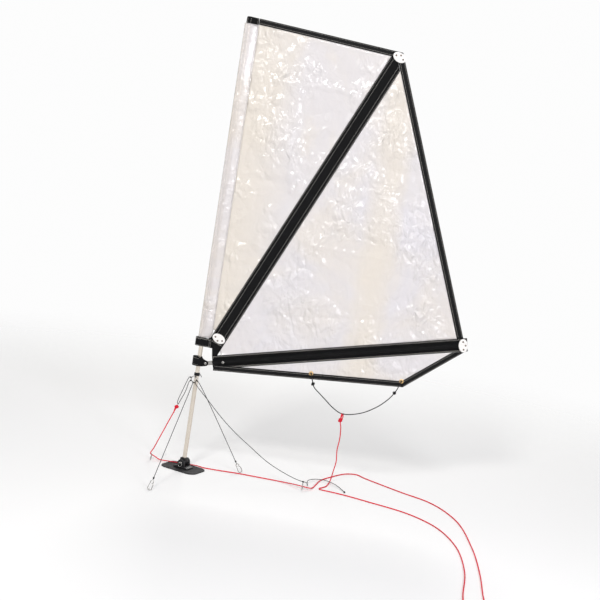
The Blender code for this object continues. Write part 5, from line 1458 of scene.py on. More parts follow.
# Fold lines in the film, as two ends in (x, z), a width and which way they stand
CREASES = (
    ((0.035, 1.108), (0.33, 1.118), 0.0035, 1),
    ((0.035, 1.48), (0.42, 1.47), 0.003, -1),
    ((0.12, 1.66), (0.118, 1.31), 0.003, 1),
    ((0.118, 1.31), (0.3, 1.305), 0.003, -1),
    ((0.215, 1.655), (0.216, 1.12), 0.0035, -1),
    ((0.035, 0.79), (0.19, 0.8), 0.0035, 1),
    ((0.56, 1.5), (0.545, 0.56), 0.0045, -1),
    ((0.64, 1.36), (0.632, 0.57), 0.0045, 1),
    ((0.455, 1.23), (0.76, 1.215), 0.004, 1),
    ((0.33, 0.905), (0.86, 0.885), 0.004, -1),
    ((0.175, 0.62), (0.89, 0.7), 0.004, 1),
    ((0.74, 1.15), (0.728, 0.59), 0.004, 1),
    ((0.84, 0.9), (0.835, 0.62), 0.004, -1),
)


# A crease's rise, in creases, and its spread, in widths
CREASE_RISE = 1.2
CREASE_SPREAD = 2.6
# The warp that the crumples follow, which is the same each run
CRUMPLE_SEED = 1795877058
WARP_SCALE = 5.0
WARP = 0.05
# Crumples: their scale, their share of a crease's height and how they are stretched
CRUMPLES = ((9.0, 1.0, (1.0, 0.55)), (17.0, 0.55, (0.6, 1.0)), (34.0, 0.28, (1.0, 0.8)))


def creased(x, z):
    """How far the film stands out of its plane at a point, as the sum of its folds, ripples and crumples."""
    height = 0.0
    spot = Vector((x, z))
    for start, end, width, sense in CREASES:
        a, b = Vector(start), Vector(end)
        run = b - a
        share = max(0.0, min(1.0, (spot - a).dot(run) / run.length_squared))
        away = (spot - a - run * share).length
        height += sense * CREASE_RISE * size("crease") * math.exp(-away / (width * CREASE_SPREAD))
    warp = noise.noise_vector(Vector((x, z, 0.37)) * WARP_SCALE) * WARP
    for scale, share, (wide, tall) in CRUMPLES:
        at_scale = Vector(((x + warp.x) * wide, (z + warp.y) * tall, 0.2)) * scale
        height += size("crease") * share * (0.5 - 1.5 * abs(noise.noise(at_scale)))
    return height + size("ripple") * noise.noise(Vector((x * 3.0, z * 1.6, 4.1)))


def thicken(obj, thickness, offset=0.0):
    skin = obj.modifiers.new("thickness", "SOLIDIFY")
    skin.thickness = thickness
    skin.offset = offset
    return obj


def inside(lines, room):
    """How far a point is inside some lines, eased from 0 on the nearest to 1 at a room away."""
    def share(point):
        spot = Vector((point.x, point.z))
        return smooth_step(min(abs((spot - p).x * way.y - (spot - p).y * way.x) for p, way in lines) / room)

    return share


def quad_area(*corners):
    return abs(sum(a.x * b.y - a.y * b.x for a, b in zip(corners, (*corners[1:], corners[0])))) / 2


def film_panel(name, node_name, finish, grid, edges, depth, lines, calm, rides, flat):
    """A clear panel between its near and far edges, each a pair of ends. It is bent, crumpled and thickened.

    Its creases fade out towards some lines, from a calm distance on. The sheet is declared by its flat size.
    """
    (a_low, a_high), (b_low, b_high) = edges

    def spot(u, v):
        point = a_low.lerp(a_high, v).lerp(b_low.lerp(b_high, v), u)
        return (point.x, point.y), at(point, depth(u))

    obj = piece(name, lofted_grid(*grid, spot), finish, 180.0, recalculate=False)
    share = inside(lines, calm)
    amounts = [share(vert.co) for vert in obj.data.vertices]
    rides(obj)
    for vert, amount in zip(obj.data.vertices, amounts):
        vert.co.y += amount * creased(vert.co.x, vert.co.z)
    obj.data.update()
    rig.replaces(obj, node_name)
    size_flat, area = flat
    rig.sheet(thicken(obj, FILM), flat=size_flat, held="stretched", area=area)


def make_panels():
    start, diagonal_edge = upright_at(PANEL_START_X), shifted(DIAGONAL_FRONT, GAP)
    head_edge = shifted(HEAD_INNER, -GAP)
    tip_z = (meet(shifted(upright_at(SEAM_X), -GAP), diagonal_edge) + Vector((0, SLEEVE_FRONT))).y
    near = (Vector((PANEL_START_X, tip_z)), meet(head_edge, start))
    far = (meet(diagonal_edge, line(0, tip_z, 0)), meet(head_edge, diagonal_edge))
    flat = (far[1].x - near[0].x, near[1].y - near[0].y), quad_area(near[0], far[0], far[1], near[1])
    film_panel(
        "front_film", "front_panel", "luff_film", (64, 150), (near, far), depth_across(PANEL_DEPTHS),
        (start, head_edge, diagonal_edge), PANEL_CALM,
        lambda obj: bent(obj, ("sail", "diagonal"), PANEL_DEPTHS, front_share), flat,
    )

    leech = shifted(LEECH_INNER, -GAP)
    far_a, far_b = meet(EDGE_A, leech), meet(EDGE_B, leech)
    share = BOOM_POCKET_WIDTH / 4 / (far_b - APEX).length
    near, far = (APEX.lerp(far_a, share), far_a), (APEX.lerp(far_b, share), far_b)
    flat = (far_b.x - near[0].x, far_a.y - far[0].y), quad_area(near[0], far[0], far[1], near[1])
    film_panel(
        "aft_film", "aft_panel", "clear_film", (120, 150), (near, far), depth_across(AFT_DEPTHS),
        (EDGE_A, EDGE_B, leech), PANEL_CALM,
        lambda obj: bent(obj, ("diagonal", "boom"), AFT_DEPTHS, aft_share), flat,
    )

    lines = (shifted(FLAP_LOW_INNER, GAP), shifted(FLAP_RISE_INNER, GAP), shifted(POCKET_FOOT, -2 * GAP))
    front, low, aft = (meet(lines[a], lines[b]) for a, b in ((0, 2), (0, 1), (1, 2)))
    area, run = quad_area(front, low, aft), (aft - front).length
    near, far = (front.lerp(low, FLAP_TIP), low), (front.lerp(aft, FLAP_TIP), aft)
    film_panel(
        "flap_clear_film", "flap_film", "clear_film", (24, 110), (near, far), lambda u: FLAP_Y, lines,
        FLAP_CALM, lambda obj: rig.ride(obj, "boom"), ((2.05 * area / run, run), area),
    )


SLEEVE_ROOM = 0.0024
SLEEVE_EDGE = 0.0016
SLEEVE_ROUNDING = 0.6
SLEEVE_THREAD_Y = 0.003
TACK_STRAP_Z = 0.489
TACK_STRAP_HEIGHT = 0.032
HEAD_TAB_TAIL = 0.003


def make_sleeve():
    """The clear sleeve over the mast, a tube that is flat at its seam, with its stitching."""
    low = TACK_STRAP_Z + TACK_STRAP_HEIGHT / 2 + GAP
    high = meet(shifted(HEAD_INNER, -GAP), upright_at(0)).y - HEAD_TAB_TAIL

    def spot(u, v):
        z = low + (high - low) * v
        back = min(SEAM_X, meet(DIAGONAL_FRONT, line(0.0, z, 0.0)).x - GAP)
        c, s = math.cos(math.tau * u), math.sin(math.tau * u)
        x = (back - SLEEVE_FRONT) / 2 + (back + SLEEVE_FRONT) / 2 * c
        flat = max(0.0, min(1.0, x / back))
        depth = (MAST_RADIUS + SLEEVE_ROOM) * (1 - flat) + SLEEVE_EDGE * flat
        rise = abs(s) ** SLEEVE_ROUNDING
        slack = 0.0007 * noise.noise(Vector((c * 2, s * 2, z * 16)))
        slack += 0.0008 * (0.5 - abs(noise.noise(Vector((c * 3, s * 3, z * 34)))))
        return (u * 0.11, z), Vector((x, math.copysign(rise * (depth + slack * rise - 0.0004), s), z))

    bm = lofted_grid(40, 120, spot)
    bmesh.ops.remove_doubles(bm, verts=bm.verts, dist=GAP / 6)
    riding(thicken(piece("mast_sleeve", bm, "sleeve_film", 180.0), FILM, -1.0), "sail", "luff_sleeve")
    bm = bmesh.new()
    for side in (-1, 1):
        start = Vector((SEAM_X - 0.003, side * SLEEVE_THREAD_Y, low + 0.006))
        sew_straight(bm, start, Vector((start.x, start.y, high - 0.004)), Y_AXIS * side)
    riding(sewn("sleeve_seam_thread", bm), "sail", "luff_sleeve")


class DressFilm(bpy.types.Operator):
    """Makes the sleeve over the mast and the three clear panels."""

    bl_idname = "sail.dress_film"
    bl_label = "Clear film"

    def execute(self, context):
        noise.seed_set(CRUMPLE_SEED)
        make_sleeve()
        make_panels()
        return {"FINISHED"}


# Tapes along the edges

# Half the section of a folded tape, as shares of its width and of half its thickness
TAPE_SECTION = (
    (0.0, 0.0), (0.02, 0.55), (0.07, 0.9), (0.3, 1), (0.66, 0.98), (0.76, 0.78), (0.84, 0.92), (0.97, 0.84),
    (1.0, 0.45),
)
TAPE_ROWS = (0.16, 0.76)
SEWN_DEPTH = 0.43
TAPE_WAVE = 0.00025
ROW_MARGIN = 0.004


def folded_tape(name, outer, inner, depth, steps):
    """A tape folded over the film's edge: outer is where it is folded, inner where it is sewn down."""
    length = (outer(1.0) - outer(0.0)).length
    rings = []
    for i in range(steps + 1):
        u = i / steps
        a, b, y = outer(u), inner(u), depth(u)
        width = (b - a).length
        wave = TAPE_WAVE * noise.noise(Vector((u * length * 22, 1.3, width * 40)))
        ring = []
        for sense, section in ((-1, TAPE_SECTION), (1, TAPE_SECTION[:0:-1])):
            for t, h in section:
                spot = at(a.lerp(b, t), y + sense * h * TAPE / 2 + wave)
                ring.append((spot, (u * length, sense * t * width)))
        rings.append(ring)
    return piece(name, lofted_bar(rings), "edge_tape", 50.0)


def sew_tape(bm, outer, inner, depth):
    """Rows of stitches along both faces of a tape."""
    for t in TAPE_ROWS:
        run = (inner(1.0).lerp(outer(1.0), 1 - t) - inner(0.0).lerp(outer(0.0), 1 - t)).length
        for sense in (-1, 1):
            def place(s, t=t, sense=sense, run=run):
                u = (ROW_MARGIN + s) / run
                across = (inner(u) - outer(u)).normalized()
                spot = at(outer(u).lerp(inner(u), t), depth(u) + sense * TAPE * SEWN_DEPTH)
                return spot, Vector((across.x, 0, across.y)), Y_AXIS * sense

            sew(bm, place, run - 2 * ROW_MARGIN)


def between(a, b):
    return lambda u: a.lerp(b, u)


def bent_tape(name, node_name, outer, inner, bodies, depths, share, steps):
    """A tape with its threads, bent with the film that it binds."""
    depth = depth_across(depths)
    obj = folded_tape(f"{name}_tape", outer, inner, depth, steps)
    bm = bmesh.new()
    sew_tape(bm, outer, inner, depth)
    for part in (obj, sewn(f"{name}_tape_thread", bm)):
        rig.replaces(part, node_name)
        bent(part, bodies, depths, share)


def make_tapes():
    inner_corner = meet(HEAD_INNER, LEECH_INNER)
    start = upright_at(PANEL_START_X)
    outer, inner = between(meet(HEAD, start), PEAK), between(meet(HEAD_INNER, start), inner_corner)
    bent_tape("head", "head_binding", outer, inner, ("sail", "diagonal"), PANEL_DEPTHS, front_share, 60)

    mitre = (PEAK - inner_corner).normalized()
    miss = Vector((mitre.y, -mitre.x)) * GAP * 1.5
    outer = between(PEAK + miss, meet(LEECH, EDGE_B))
    inner = between(inner_corner + miss, meet(LEECH_INNER, EDGE_B))
    bent_tape("leech", "leech_binding", outer, inner, ("diagonal", "boom"), AFT_DEPTHS, aft_share, 100)

    under = shifted(POCKET_FOOT, -GAP)
    start = upright_at(along(under, BOOM_POCKET_START).x)
    corner = meet(FLAP_LOW_INNER, FLAP_RISE_INNER)
    low = between(meet(FLAP_LOW, start), FLAP_CORNER), between(meet(FLAP_LOW_INNER, start), corner)
    rise = between(FLAP_CORNER, meet(FLAP_RISE, under)), between(corner, meet(FLAP_RISE_INNER, under))
    bm = bmesh.new()
    for (outer, inner), steps, name in ((low, 70, "flap_low_tape"), (rise, 30, "flap_aft_tape")):
        riding(folded_tape(name, outer, inner, lambda u: FLAP_Y, steps), "boom", "flap_binding")
        sew_tape(bm, outer, inner, lambda u: FLAP_Y)
    riding(sewn("flap_tape_thread", bm), "boom", "flap_binding")


TAB_MIDDLE_X = 0.01175
TAB_HALF_LENGTH = 0.0229
TAB_ROWS = (-0.007, 0.005, 0.03)
TAB_ROW_LENGTH = 0.018
TAB_LEVELS = 14
# How square the tab is along x, and how round across it
TAB_SQUARE = 0.7
TAB_ROUND = 0.85


def tab_depth(share):
    """Half the head tab's thickness at a share of its height, where it closes from the sleeve to a tape."""
    round_part = (MAST_RADIUS + SLEEVE_ROOM + 0.0002) * math.sqrt(max(0.0, 1 - share ** 2.6))
    return round_part + TAPE / 2 * share ** 3


def make_head_tab():
    """The folded end of the head tape, which closes the sleeve over the mast."""
    low_z = meet(HEAD_INNER, upright_at(0)).y - HEAD_TAB_TAIL + GAP
    rings = []
    for j in range(TAB_LEVELS + 1):
        share = j / TAB_LEVELS
        ring = []
        for c, s in arc(0, 360, 36)[:-1]:
            half = TAB_HALF_LENGTH - 0.0016 * share ** 4
            x = TAB_MIDDLE_X + half * math.copysign(abs(c) ** TAB_SQUARE, c)
            top = meet(HEAD, upright_at(x)).y - 0.0004 - 0.003 * (1 - abs(s)) * share ** 6 * (c < 0)
            z = low_z + (top - low_z) * share
            ring.append((Vector((x, tab_depth(share) * math.copysign(abs(s) ** TAB_ROUND, s), z)), (x, z)))
        rings.append(ring)
    riding(piece("head_tape_tab", lofted_bar(rings), "black_webbing", 60.0), "sail", "head_tab")
    bm = bmesh.new()
    for x in TAB_ROWS:
        for side in (-1, 1):
            def place(s, x=x, side=side):
                z = low_z + 0.0015 + s
                c = abs((x - TAB_MIDDLE_X) / TAB_HALF_LENGTH) ** (1 / TAB_SQUARE)
                y = tab_depth((z - low_z) / (HEAD_Z - low_z)) * math.sqrt(max(0.0, 1 - c * c)) ** TAB_ROUND
                return Vector((x, side * (y + 0.0001), z)), X_AXIS, Y_AXIS * side

            sew(bm, place, TAB_ROW_LENGTH)
    riding(sewn("head_tab_thread", bm), "sail", "head_tab")


class DressTapes(bpy.types.Operator):
    """Makes the black tapes along the head, the leech and the flap, with their stitching."""

    bl_idname = "sail.dress_tapes"
    bl_label = "Tapes"

    def execute(self, context):
        make_tapes()
        make_head_tab()
        return {"FINISHED"}


# The struts' pockets

# Places across the diagonal pocket, as shares of its half width
POCKET_SPOTS = (-1.0, -0.985, -0.9, -0.72, -0.56, -0.5, -0.44, -0.38, -0.32, -0.2, 0.0)
POCKET_STEPS = 110
POCKET_EDGE = 0.45
POCKET_PUCKER = 0.00022
BORE_HALF_WIDTH = 0.0088
BORE_HALF_DEPTH = 0.0022
BATTEN_HALF_WIDTH = 0.0085
BATTEN_SLOPE = 0.006
THIN_HALF_DEPTH = 0.001
POCKET_ROWS = (0.0248, 0.015, -0.015, -0.0248)
ROW_END = 0.004


def diagonal_end(across):
    side = shifted(DIAGONAL, across)
    head_edge, leech_edge = shifted(HEAD_INNER, -GAP), shifted(LEECH_INNER, -GAP)
    return min((meet(side, edge) - side[0]).dot(side[1]) for edge in (head_edge, leech_edge))


def pocket_half_depth(across):
    """Half the diagonal pocket's thickness at a distance from its middle, full over the batten."""
    full = DIAGONAL_POCKET_DEPTH / 2
    return full + (THIN_HALF_DEPTH - full) * smooth_step((abs(across) - BATTEN_HALF_WIDTH) / BATTEN_SLOPE)


def pocket_ring(v):
    """The diagonal pocket's outer section at a share of its length, and the bore's in the same order."""
    ring, bore = [], []
    spots = [*POCKET_SPOTS, *(-a for a in POCKET_SPOTS[-2::-1])]
    for sense, row in ((-1, spots), (1, spots[::-1])):
        for a in row:
            across = a * DIAGONAL_POCKET_WIDTH / 2
            run = DIAGONAL_POCKET_START + (diagonal_end(across) - DIAGONAL_POCKET_START) * v
            deep = pocket_half_depth(across) * (POCKET_EDGE if abs(a) == 1.0 else 1.0)
            pucker = POCKET_PUCKER * noise.noise(Vector((run * 38, a * 3, 2.0)))
            spot = at(along(DIAGONAL, run, across), DIAGONAL_Y + sense * deep + pucker)
            ring.append((spot, (run, across + sense * 0.06)))
            angle = math.acos(max(-1.0, min(1.0, a)))
            bore_deep = sense * BORE_HALF_DEPTH * max(0.05, math.sin(angle))
            spot = at(along(DIAGONAL, run, BORE_HALF_WIDTH * math.cos(angle)), DIAGONAL_Y + bore_deep)
            bore.append((spot, (run, across)))
    return ring, bore


def make_diagonal_pocket():
    outer, bore = zip(*(pocket_ring(i / POCKET_STEPS) for i in range(POCKET_STEPS + 1)))
    rings = [bore[-2], bore[POCKET_STEPS // 2], bore[0], *outer]
    webbing = piece("diagonal_webbing", lofted_bar(rings), "black_webbing", 50.0)
    riding(webbing, "diagonal", "diagonal_pocket")
    bm = bmesh.new()
    for across in POCKET_ROWS:
        runs = (DIAGONAL_POCKET_START + ROW_END, diagonal_end(across) - ROW_END)
        for side in (-1, 1):
            y = DIAGONAL_Y + side * (pocket_half_depth(across) + 0.00012)
            sew_straight(bm, *(at(along(DIAGONAL, run, across), y) for run in runs), Y_AXIS * side)
    riding(sewn("diagonal_thread", bm), "diagonal", "diagonal_pocket")


BOOM_POCKET_STEPS = 90
BOOM_PUCKER = 0.0003
BOOM_FRONT_Y = BOOM_BACK_Y - 0.0018
BOOM_CLOTH = 0.001
LIP = 0.0006
BOOM_ROW = 0.0205
BOOM_ZIG = 0.005
THREAD_SINK = 0.0003


def boom_section():
    """The boom pocket's section as (across, y), flat at the back and arched over the boom."""
    half, back, front = BOOM_POCKET_WIDTH / 2, BOOM_BACK_Y, BOOM_FRONT_Y
    outer = BOOM_RADIUS + GAP + BOOM_CLOTH
    slope = [(half * a, front - drop) for a, drop in ((0.85, 0.0002), (0.62, 0.0002), (0.46, 0.0008))]
    return [
        (-half, back - 0.0004), (-half + LIP, back),
        *((half * a, back) for a in (-0.8, -0.4, -0.15, 0.15, 0.4, 0.8)),
        (half - LIP, back), (half, back - 0.0004), (half, front + 0.0005), (half - LIP, front), *slope,
        *((outer * c, BOOM_Y - outer * s) for c, s in arc(14, 166, 10)),
        *((-across, y) for across, y in slope[::-1]), (-half + LIP, front), (-half, front + 0.0005),
    ]


def make_boom_pocket():
    """Webbing folded over the boom, sewn down along both edges, and open at both ends."""
    section, room = boom_section(), BOOM_RADIUS + GAP
    outer_rings, inner_rings = [], []
    for i in range(BOOM_POCKET_STEPS + 1):
        run = BOOM_POCKET_START + (BOOM_POCKET_END - BOOM_POCKET_START) * i / BOOM_POCKET_STEPS
        ring, bore, around = [], [], 0.0
        for k, (a, y) in enumerate(section):
            if k:
                around += math.dist(section[k], section[k - 1])
            fixed = y > BOOM_BACK_Y - 0.0003
            pucker = 0.0 if fixed else BOOM_PUCKER * noise.noise(Vector((run * 30, a * 60, 7.0)))
            ring.append((at(along(BOOM, run, a), y + pucker), (run, around)))
            way = Vector((a, y - BOOM_Y)).normalized() * room
            bore.append((at(along(BOOM, run, way.x), BOOM_Y + way.y), (run, around)))
        outer_rings.append(ring)
        inner_rings.append(bore)
    rings = outer_rings + inner_rings[::-1] + [outer_rings[0]]
    webbing = piece("boom_webbing", lofted_bar(rings, caps=False), "black_webbing", 50.0)
    riding(webbing, "boom", "boom_pocket")

    front, back = BOOM_FRONT_Y - THREAD_SINK, BOOM_BACK_Y - THREAD_SINK
    bm = bmesh.new()
    for across in (BOOM_ROW, -BOOM_ROW):
        for y, up in ((front, NEAR), (back, Y_AXIS)):
            ends = (BOOM_POCKET_START + 0.003, BOOM_POCKET_END - 0.003)
            sew_straight(bm, *(at(along(BOOM, run, across), y) for run in ends), up, BOOM_ZIG)
    for run in (BOOM_POCKET_START + ROW_END, BOOM_POCKET_END - ROW_END):
        for ends in ((-0.0235, -0.013), (0.013, 0.0235)):
            sew_straight(bm, *(at(along(BOOM, run, across), front) for across in ends), NEAR)
    riding(sewn("boom_thread", bm), "boom", "boom_pocket")


class DressPockets(bpy.types.Operator):
    """Makes the webbing pockets of the diagonal batten and the boom, with their stitching."""

    bl_idname = "sail.dress_pockets"
    bl_label = "Pockets"

    def execute(self, context):
        make_diagonal_pocket()
        make_boom_pocket()
        return {"FINISHED"}


# The straps round the mast and the patch between the struts

STRAP = 0.002
BOOM_STRAP_HEIGHT = 0.035
STRAP_EYE_RADIUS = 0.0105
TACK_STRAP_TAIL = 0.036
PATCH_CLOTH = 0.003
PATCH_FRONT = 0.0225
STRAP_HOLD = MAST_RADIUS + 2 * STRAP
TONGUE_THICKNESS = 0.0014
TONGUE_WIDTH = 0.016
TONGUE_NECK = 0.009
TONGUE_REACH = 0.092
LOCK_RIVET_REACH = 0.065
RIVET_HEAD = 0.0046
STRAP_EDGE = 0.0006
BOOM_STRAP_ROW = 0.012
TACK_ZIG = 0.0042
TACK_ROWS = ((0.0122, TACK_ZIG), (-0.013, 0.0))
TACK_CROSS_ROWS = (0.028, 0.0335)
TACK_CROSS_ENDS = (0.4755, 0.501)
STRAP_BEND = MAST_RADIUS + GAP + STRAP / 2

# Half a strap's section: how far out, in half thicknesses, and how far the height is short of its full half
STRAP_SECTION = ((1, STRAP_EDGE), (0.5, 0.0), (-0.5, 0.0), (-1, STRAP_EDGE))


def strap(name, path, halves, middle_z):
    """Webbing on edge along a path of (x, y) points, as high at each point as halves says."""
    points, _ = smooth_route([(x, y, half) for (x, y), half in zip(path, halves)], 0.0022)
    rings, run = [], 0.0
    for i, p in enumerate(points):
        way = nearby(points, i)
        normal = Vector((-way.y, way.x, 0)).normalized()
        if i:
            run += math.dist(p[:2], points[i - 1][:2])
        half = max(0.001, p.z)
        rounded = [(out, half - short) for out, short in STRAP_SECTION]
        section = [*rounded, (-1, 0), *((out, -h) for out, h in rounded[::-1]), (1, 0)]
        core = Vector((p.x, p.y, middle_z))
        rings.append([
            (core + normal * out * STRAP / 2 + Z_AXIS * h, (run, h + (0.1 if out < 0 else 0)))
            for out, h in section
        ])
    return piece(name, lofted_bar(rings), "black_webbing", 50.0), points


def sew_strap(bm, points, middle_z, start, end, rise, zig=0.0):
    """A row along a strap's path, from one share of it to another, at a height above its middle."""
    first, last = round(start * (len(points) - 1)), round(end * (len(points) - 1))
    flat = [Vector((p.x, p.y, 0)) for p in points[first:last + 1]]

    def place(s):
        left = s
        for a, b in zip(flat, flat[1:]):
            step = (b - a).length
            if left <= step or b is flat[-1]:
                way = (b - a).normalized()
                normal = Vector((-way.y, way.x, 0))
                return a + way * left + normal * STRAP * 0.53 + Z_AXIS * (middle_z + rise), Z_AXIS, normal
            left -= step

    sew(bm, place, length_of(flat) * 0.999, zig)


def slack_wrap(share, near_y):
    """The path of a strap's slack, which bows forward of the mast, in shares of its reach."""
    forward = [(-STRAP_SLACK * reach, near_y * depth) for reach, depth in share]
    return [
        *forward, (-STRAP_SLACK, 0.0), (-STRAP_SLACK * 0.85, STRAP_BEND * 0.55),
        (-STRAP_SLACK * 0.45, STRAP_BEND * 0.95),
    ]


def make_boom_strap():
    leaf = TONGUE_THICKNESS / 2 + GAP + STRAP / 2
    near_y, far_y = BOOM_Y - leaf, BOOM_Y + leaf
    eye = [PIVOT.x + STRAP_EYE_RADIUS * share for share in (1.0, 0.85, 0.5)]
    path = [(x, near_y) for x in (*eye, PIVOT.x, PIVOT.x - TONGUE_WIDTH / 2 - STRAP)]
    path.append((PIVOT.x * 0.25, near_y * 0.82))
    path += slack_wrap(((0.15, 0.64), (0.62, 0.42), (0.92, 0.2)), near_y)
    path += [(STRAP_BEND * c, STRAP_BEND * s) for c, s in arc(90, 0, 6)]
    path += [(STRAP_BEND * 1.05, -STRAP_BEND * 0.5), (PIVOT.x * 0.5, far_y * 0.62)]
    path += [(x, far_y) for x in (PIVOT.x - RIVET_HEAD - STRAP, PIVOT.x, *eye[::-1])]
    half, tip = BOOM_STRAP_HEIGHT / 2, [STRAP_EYE_RADIUS * share for share in (0.25, 0.55, 0.87, 1.0)]
    first = [*tip, *(half * share for share in (0.75, 0.88, 0.97))]
    last = [half * 0.9, half * 0.75, *tip[::-1]]
    halves = [*first, *[half] * (len(path) - len(first) - len(last)), *last]
    obj, points = strap("boom_strap_webbing", path, halves, PIVOT.z)
    riding(obj, "sail", "boom_strap")
    bm = bmesh.new()
    for rise in (BOOM_STRAP_ROW, -BOOM_STRAP_ROW):
        sew_strap(bm, points, PIVOT.z, 0.26, 0.72, rise)
    riding(sewn("boom_strap_thread", bm), "sail", "boom_strap")


def make_tack_strap():
    sewn_y = PATCH_CLOTH / 2 + GAP + STRAP / 2
    near_y, far_y = DIAGONAL_Y - sewn_y, DIAGONAL_Y + sewn_y
    path = [(TACK_STRAP_TAIL, near_y), (PATCH_FRONT - STRAP, near_y), (PATCH_FRONT * 0.35, near_y * 0.92)]
    path += slack_wrap(((0.45, 0.68), (0.88, 0.38)), near_y)
    path += [(STRAP_BEND * c, STRAP_BEND * s) for c, s in arc(90, -12, 7)]
    path += [(PATCH_FRONT * 0.66, far_y * 0.75), (PATCH_FRONT - STRAP, far_y), (TACK_STRAP_TAIL, far_y)]
    obj, points = strap("tack_strap_webbing", path, [TACK_STRAP_HEIGHT / 2] * len(path), TACK_STRAP_Z)
    bm = bmesh.new()
    for rise, zig in TACK_ROWS:
        sew_strap(bm, points, TACK_STRAP_Z, 0.01, 0.97, rise, zig)
    for x in TACK_CROSS_ROWS:
        sew_straight(bm, *(Vector((x, near_y - STRAP * 0.53, z)) for z in TACK_CROSS_ENDS), NEAR)

    def pulled(point):
        return (point.x - STRAP_HOLD) / (PATCH_FRONT - STRAP_HOLD)

    for part in (obj, sewn("tack_strap_thread", bm)):
        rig.replaces(part, "tack_strap")
        bent(part, ("sail", "diagonal"), PANEL_DEPTHS, pulled)


def make_tack_patch():
    """The sewn corner that joins the foot of the diagonal pocket to the start of the boom pocket."""
    top_front, top_back = (
        along(DIAGONAL, DIAGONAL_POCKET_START - GAP, side * DIAGONAL_POCKET_WIDTH / 2) for side in (1, -1)
    )
    low_back = meet(DIAGONAL_BACK, EDGE_B)
    low_front = along(EDGE_B, BOOM_POCKET_START)
    strap_foot = Vector((PATCH_FRONT, TACK_STRAP_Z - TACK_STRAP_HEIGHT / 2))
    fold_z = strap_foot.y - STRAP
    flat = [
        Vector((PATCH_FRONT, TACK_STRAP_Z + TACK_STRAP_HEIGHT / 2)), strap_foot,
        Vector((low_front.x - STRAP * 2, fold_z)),
        meet(line_through(low_back, top_back), line(0, fold_z, 0)),
        top_back, top_front,
    ]
    bm = bmesh.new()
    sheet_map = bm.loops.layers.uv.new("map")
    upper = [bm.verts.new(at(p, DIAGONAL_Y)) for p in flat]
    lower = [bm.verts.new(at(p, FLAP_Y)) for p in (low_front, low_back)]
    bm.faces.new(upper[::-1])
    slope = bm.faces.new((upper[3], *lower[::-1], upper[2]))
    bmesh.ops.subdivide_edges(bm, edges=list(slope.edges), cuts=7, use_grid_fill=True)
    bmesh.ops.triangulate(bm, faces=[f for f in bm.faces if len(f.verts) > 4])
    for face in bm.faces:
        for loop in face.loops:
            loop[sheet_map].uv = (loop.vert.co.x, loop.vert.co.z)
    obj = piece("tack_patch_cloth", bm, "black_webbing", 60.0, recalculate=False)
    low_z = min(low_front.y, low_back.y)

    def reached(point):
        share = (point.x - low_front.x) / (low_back.x - low_front.x)
        line_z = low_front.y + (low_back.y - low_front.y) * share
        return (fold_z - point.z) / (fold_z - max(low_z, line_z))

    bent(obj, ("diagonal", "boom"), AFT_DEPTHS, reached)
    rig.replaces(thicken(obj, PATCH_CLOTH), "tack_patch")
    bm = bmesh.new()
    y = DIAGONAL_Y - PATCH_CLOTH / 2 - 0.0002
    for inset in (0.003, 0.007):
        start, end = top_front + Vector((-0.002, -0.003 - inset)), top_back + Vector((-inset, -0.004))
        sew_straight(bm, at(start, y), at(end, y), NEAR)
    riding(sewn("tack_patch_thread", bm), "diagonal", "tack_patch")


class DressStraps(bpy.types.Operator):
    """Makes the two straps round the mast and the patch that joins the struts."""

    bl_idname = "sail.dress_straps"
    bl_label = "Straps"

    def execute(self, context):
        make_boom_strap()
        make_tack_strap()
        make_tack_patch()
        return {"FINISHED"}


# Plates, rivets, eyelets and the boom's fittings

PLATE_BACK_Y = DIAGONAL_Y - DIAGONAL_POCKET_DEPTH / 2 - GAP
BOOM_NEAR_Y = BOOM_Y - BOOM_RADIUS - GAP - BOOM_CLOTH
PLATE_SIZE = (0.05, 0.034)
PLATE_THICKNESS = 0.0018
PLATE_RIVETS = (0.0145, 0.0085)
BROWN_HEAD = 0.0031
# Profiles of (radius, height): the plate's and the hollow rivet's radii are shares of their own
PLATE_PROFILE = (
    (0, 0.0021), (0.3, 0.00205), (0.6, 0.0019), (0.82, 0.0015), (0.94, 0.001), (0.985, 0.0005), (1.0, 0.0),
    (0, 0),
)
HOLLOW_PROFILE = (
    (0, 0.0003), (0.26, 0.0003), (0.32, 0.0008), (0.45, 0.001), (0.7, 0.0009), (0.92, 0.0006), (1, 0.0003),
    (1, -0.0002), (0, -0.0002),
)
# Half of an eyelet's section: how far out from its hole, and how far out of the tape
EYELET_LIP = (
    (0.0003, 0.0004), (0.0012, 0.0009), (0.0026, 0.0008), (EYELET_RADIUS - EYELET_HOLE - 0.0006, 0.0004),
)


def oval_plate(name, centre, out, back_y, body):
    """A domed oval plate with three rivets, two on its long axis and one on its outer side."""
    across = Vector((-out.y, out.x))
    bm = bmesh.new()
    spin(bm, [(r, 0, h) for r, h in PLATE_PROFILE], Matrix(), 56)
    long_half, short_half = (side / 2 for side in PLATE_SIZE)
    place = Matrix.Translation(at(centre, back_y)) @ Matrix((
        (across.x * long_half, out.x * short_half, 0, 0), (0, 0, -1, 0),
        (across.y * long_half, out.y * short_half, 0, 0), (0, 0, 0, 1),
    ))
    bmesh.ops.transform(bm, matrix=place, verts=bm.verts)
    riding(piece(f"{name}_oval_plate", bm, "plate_white"), body, f"{name}_plate")
    long_way, short_way = PLATE_RIVETS
    spots = (centre + across * long_way, centre - across * long_way, centre + out * short_way)
    profile = [(BROWN_HEAD * share, h) for share, h in HOLLOW_PROFILE]
    for number, spot in enumerate(spots, start=1):
        place = at(spot, back_y - PLATE_THICKNESS)
        rivet = turned(f"{name}_hollow_rivet_{number}", profile, place, NEAR, "brown_rivet", 28)
        riding(rivet, body, f"{name}_rivet_{number}")


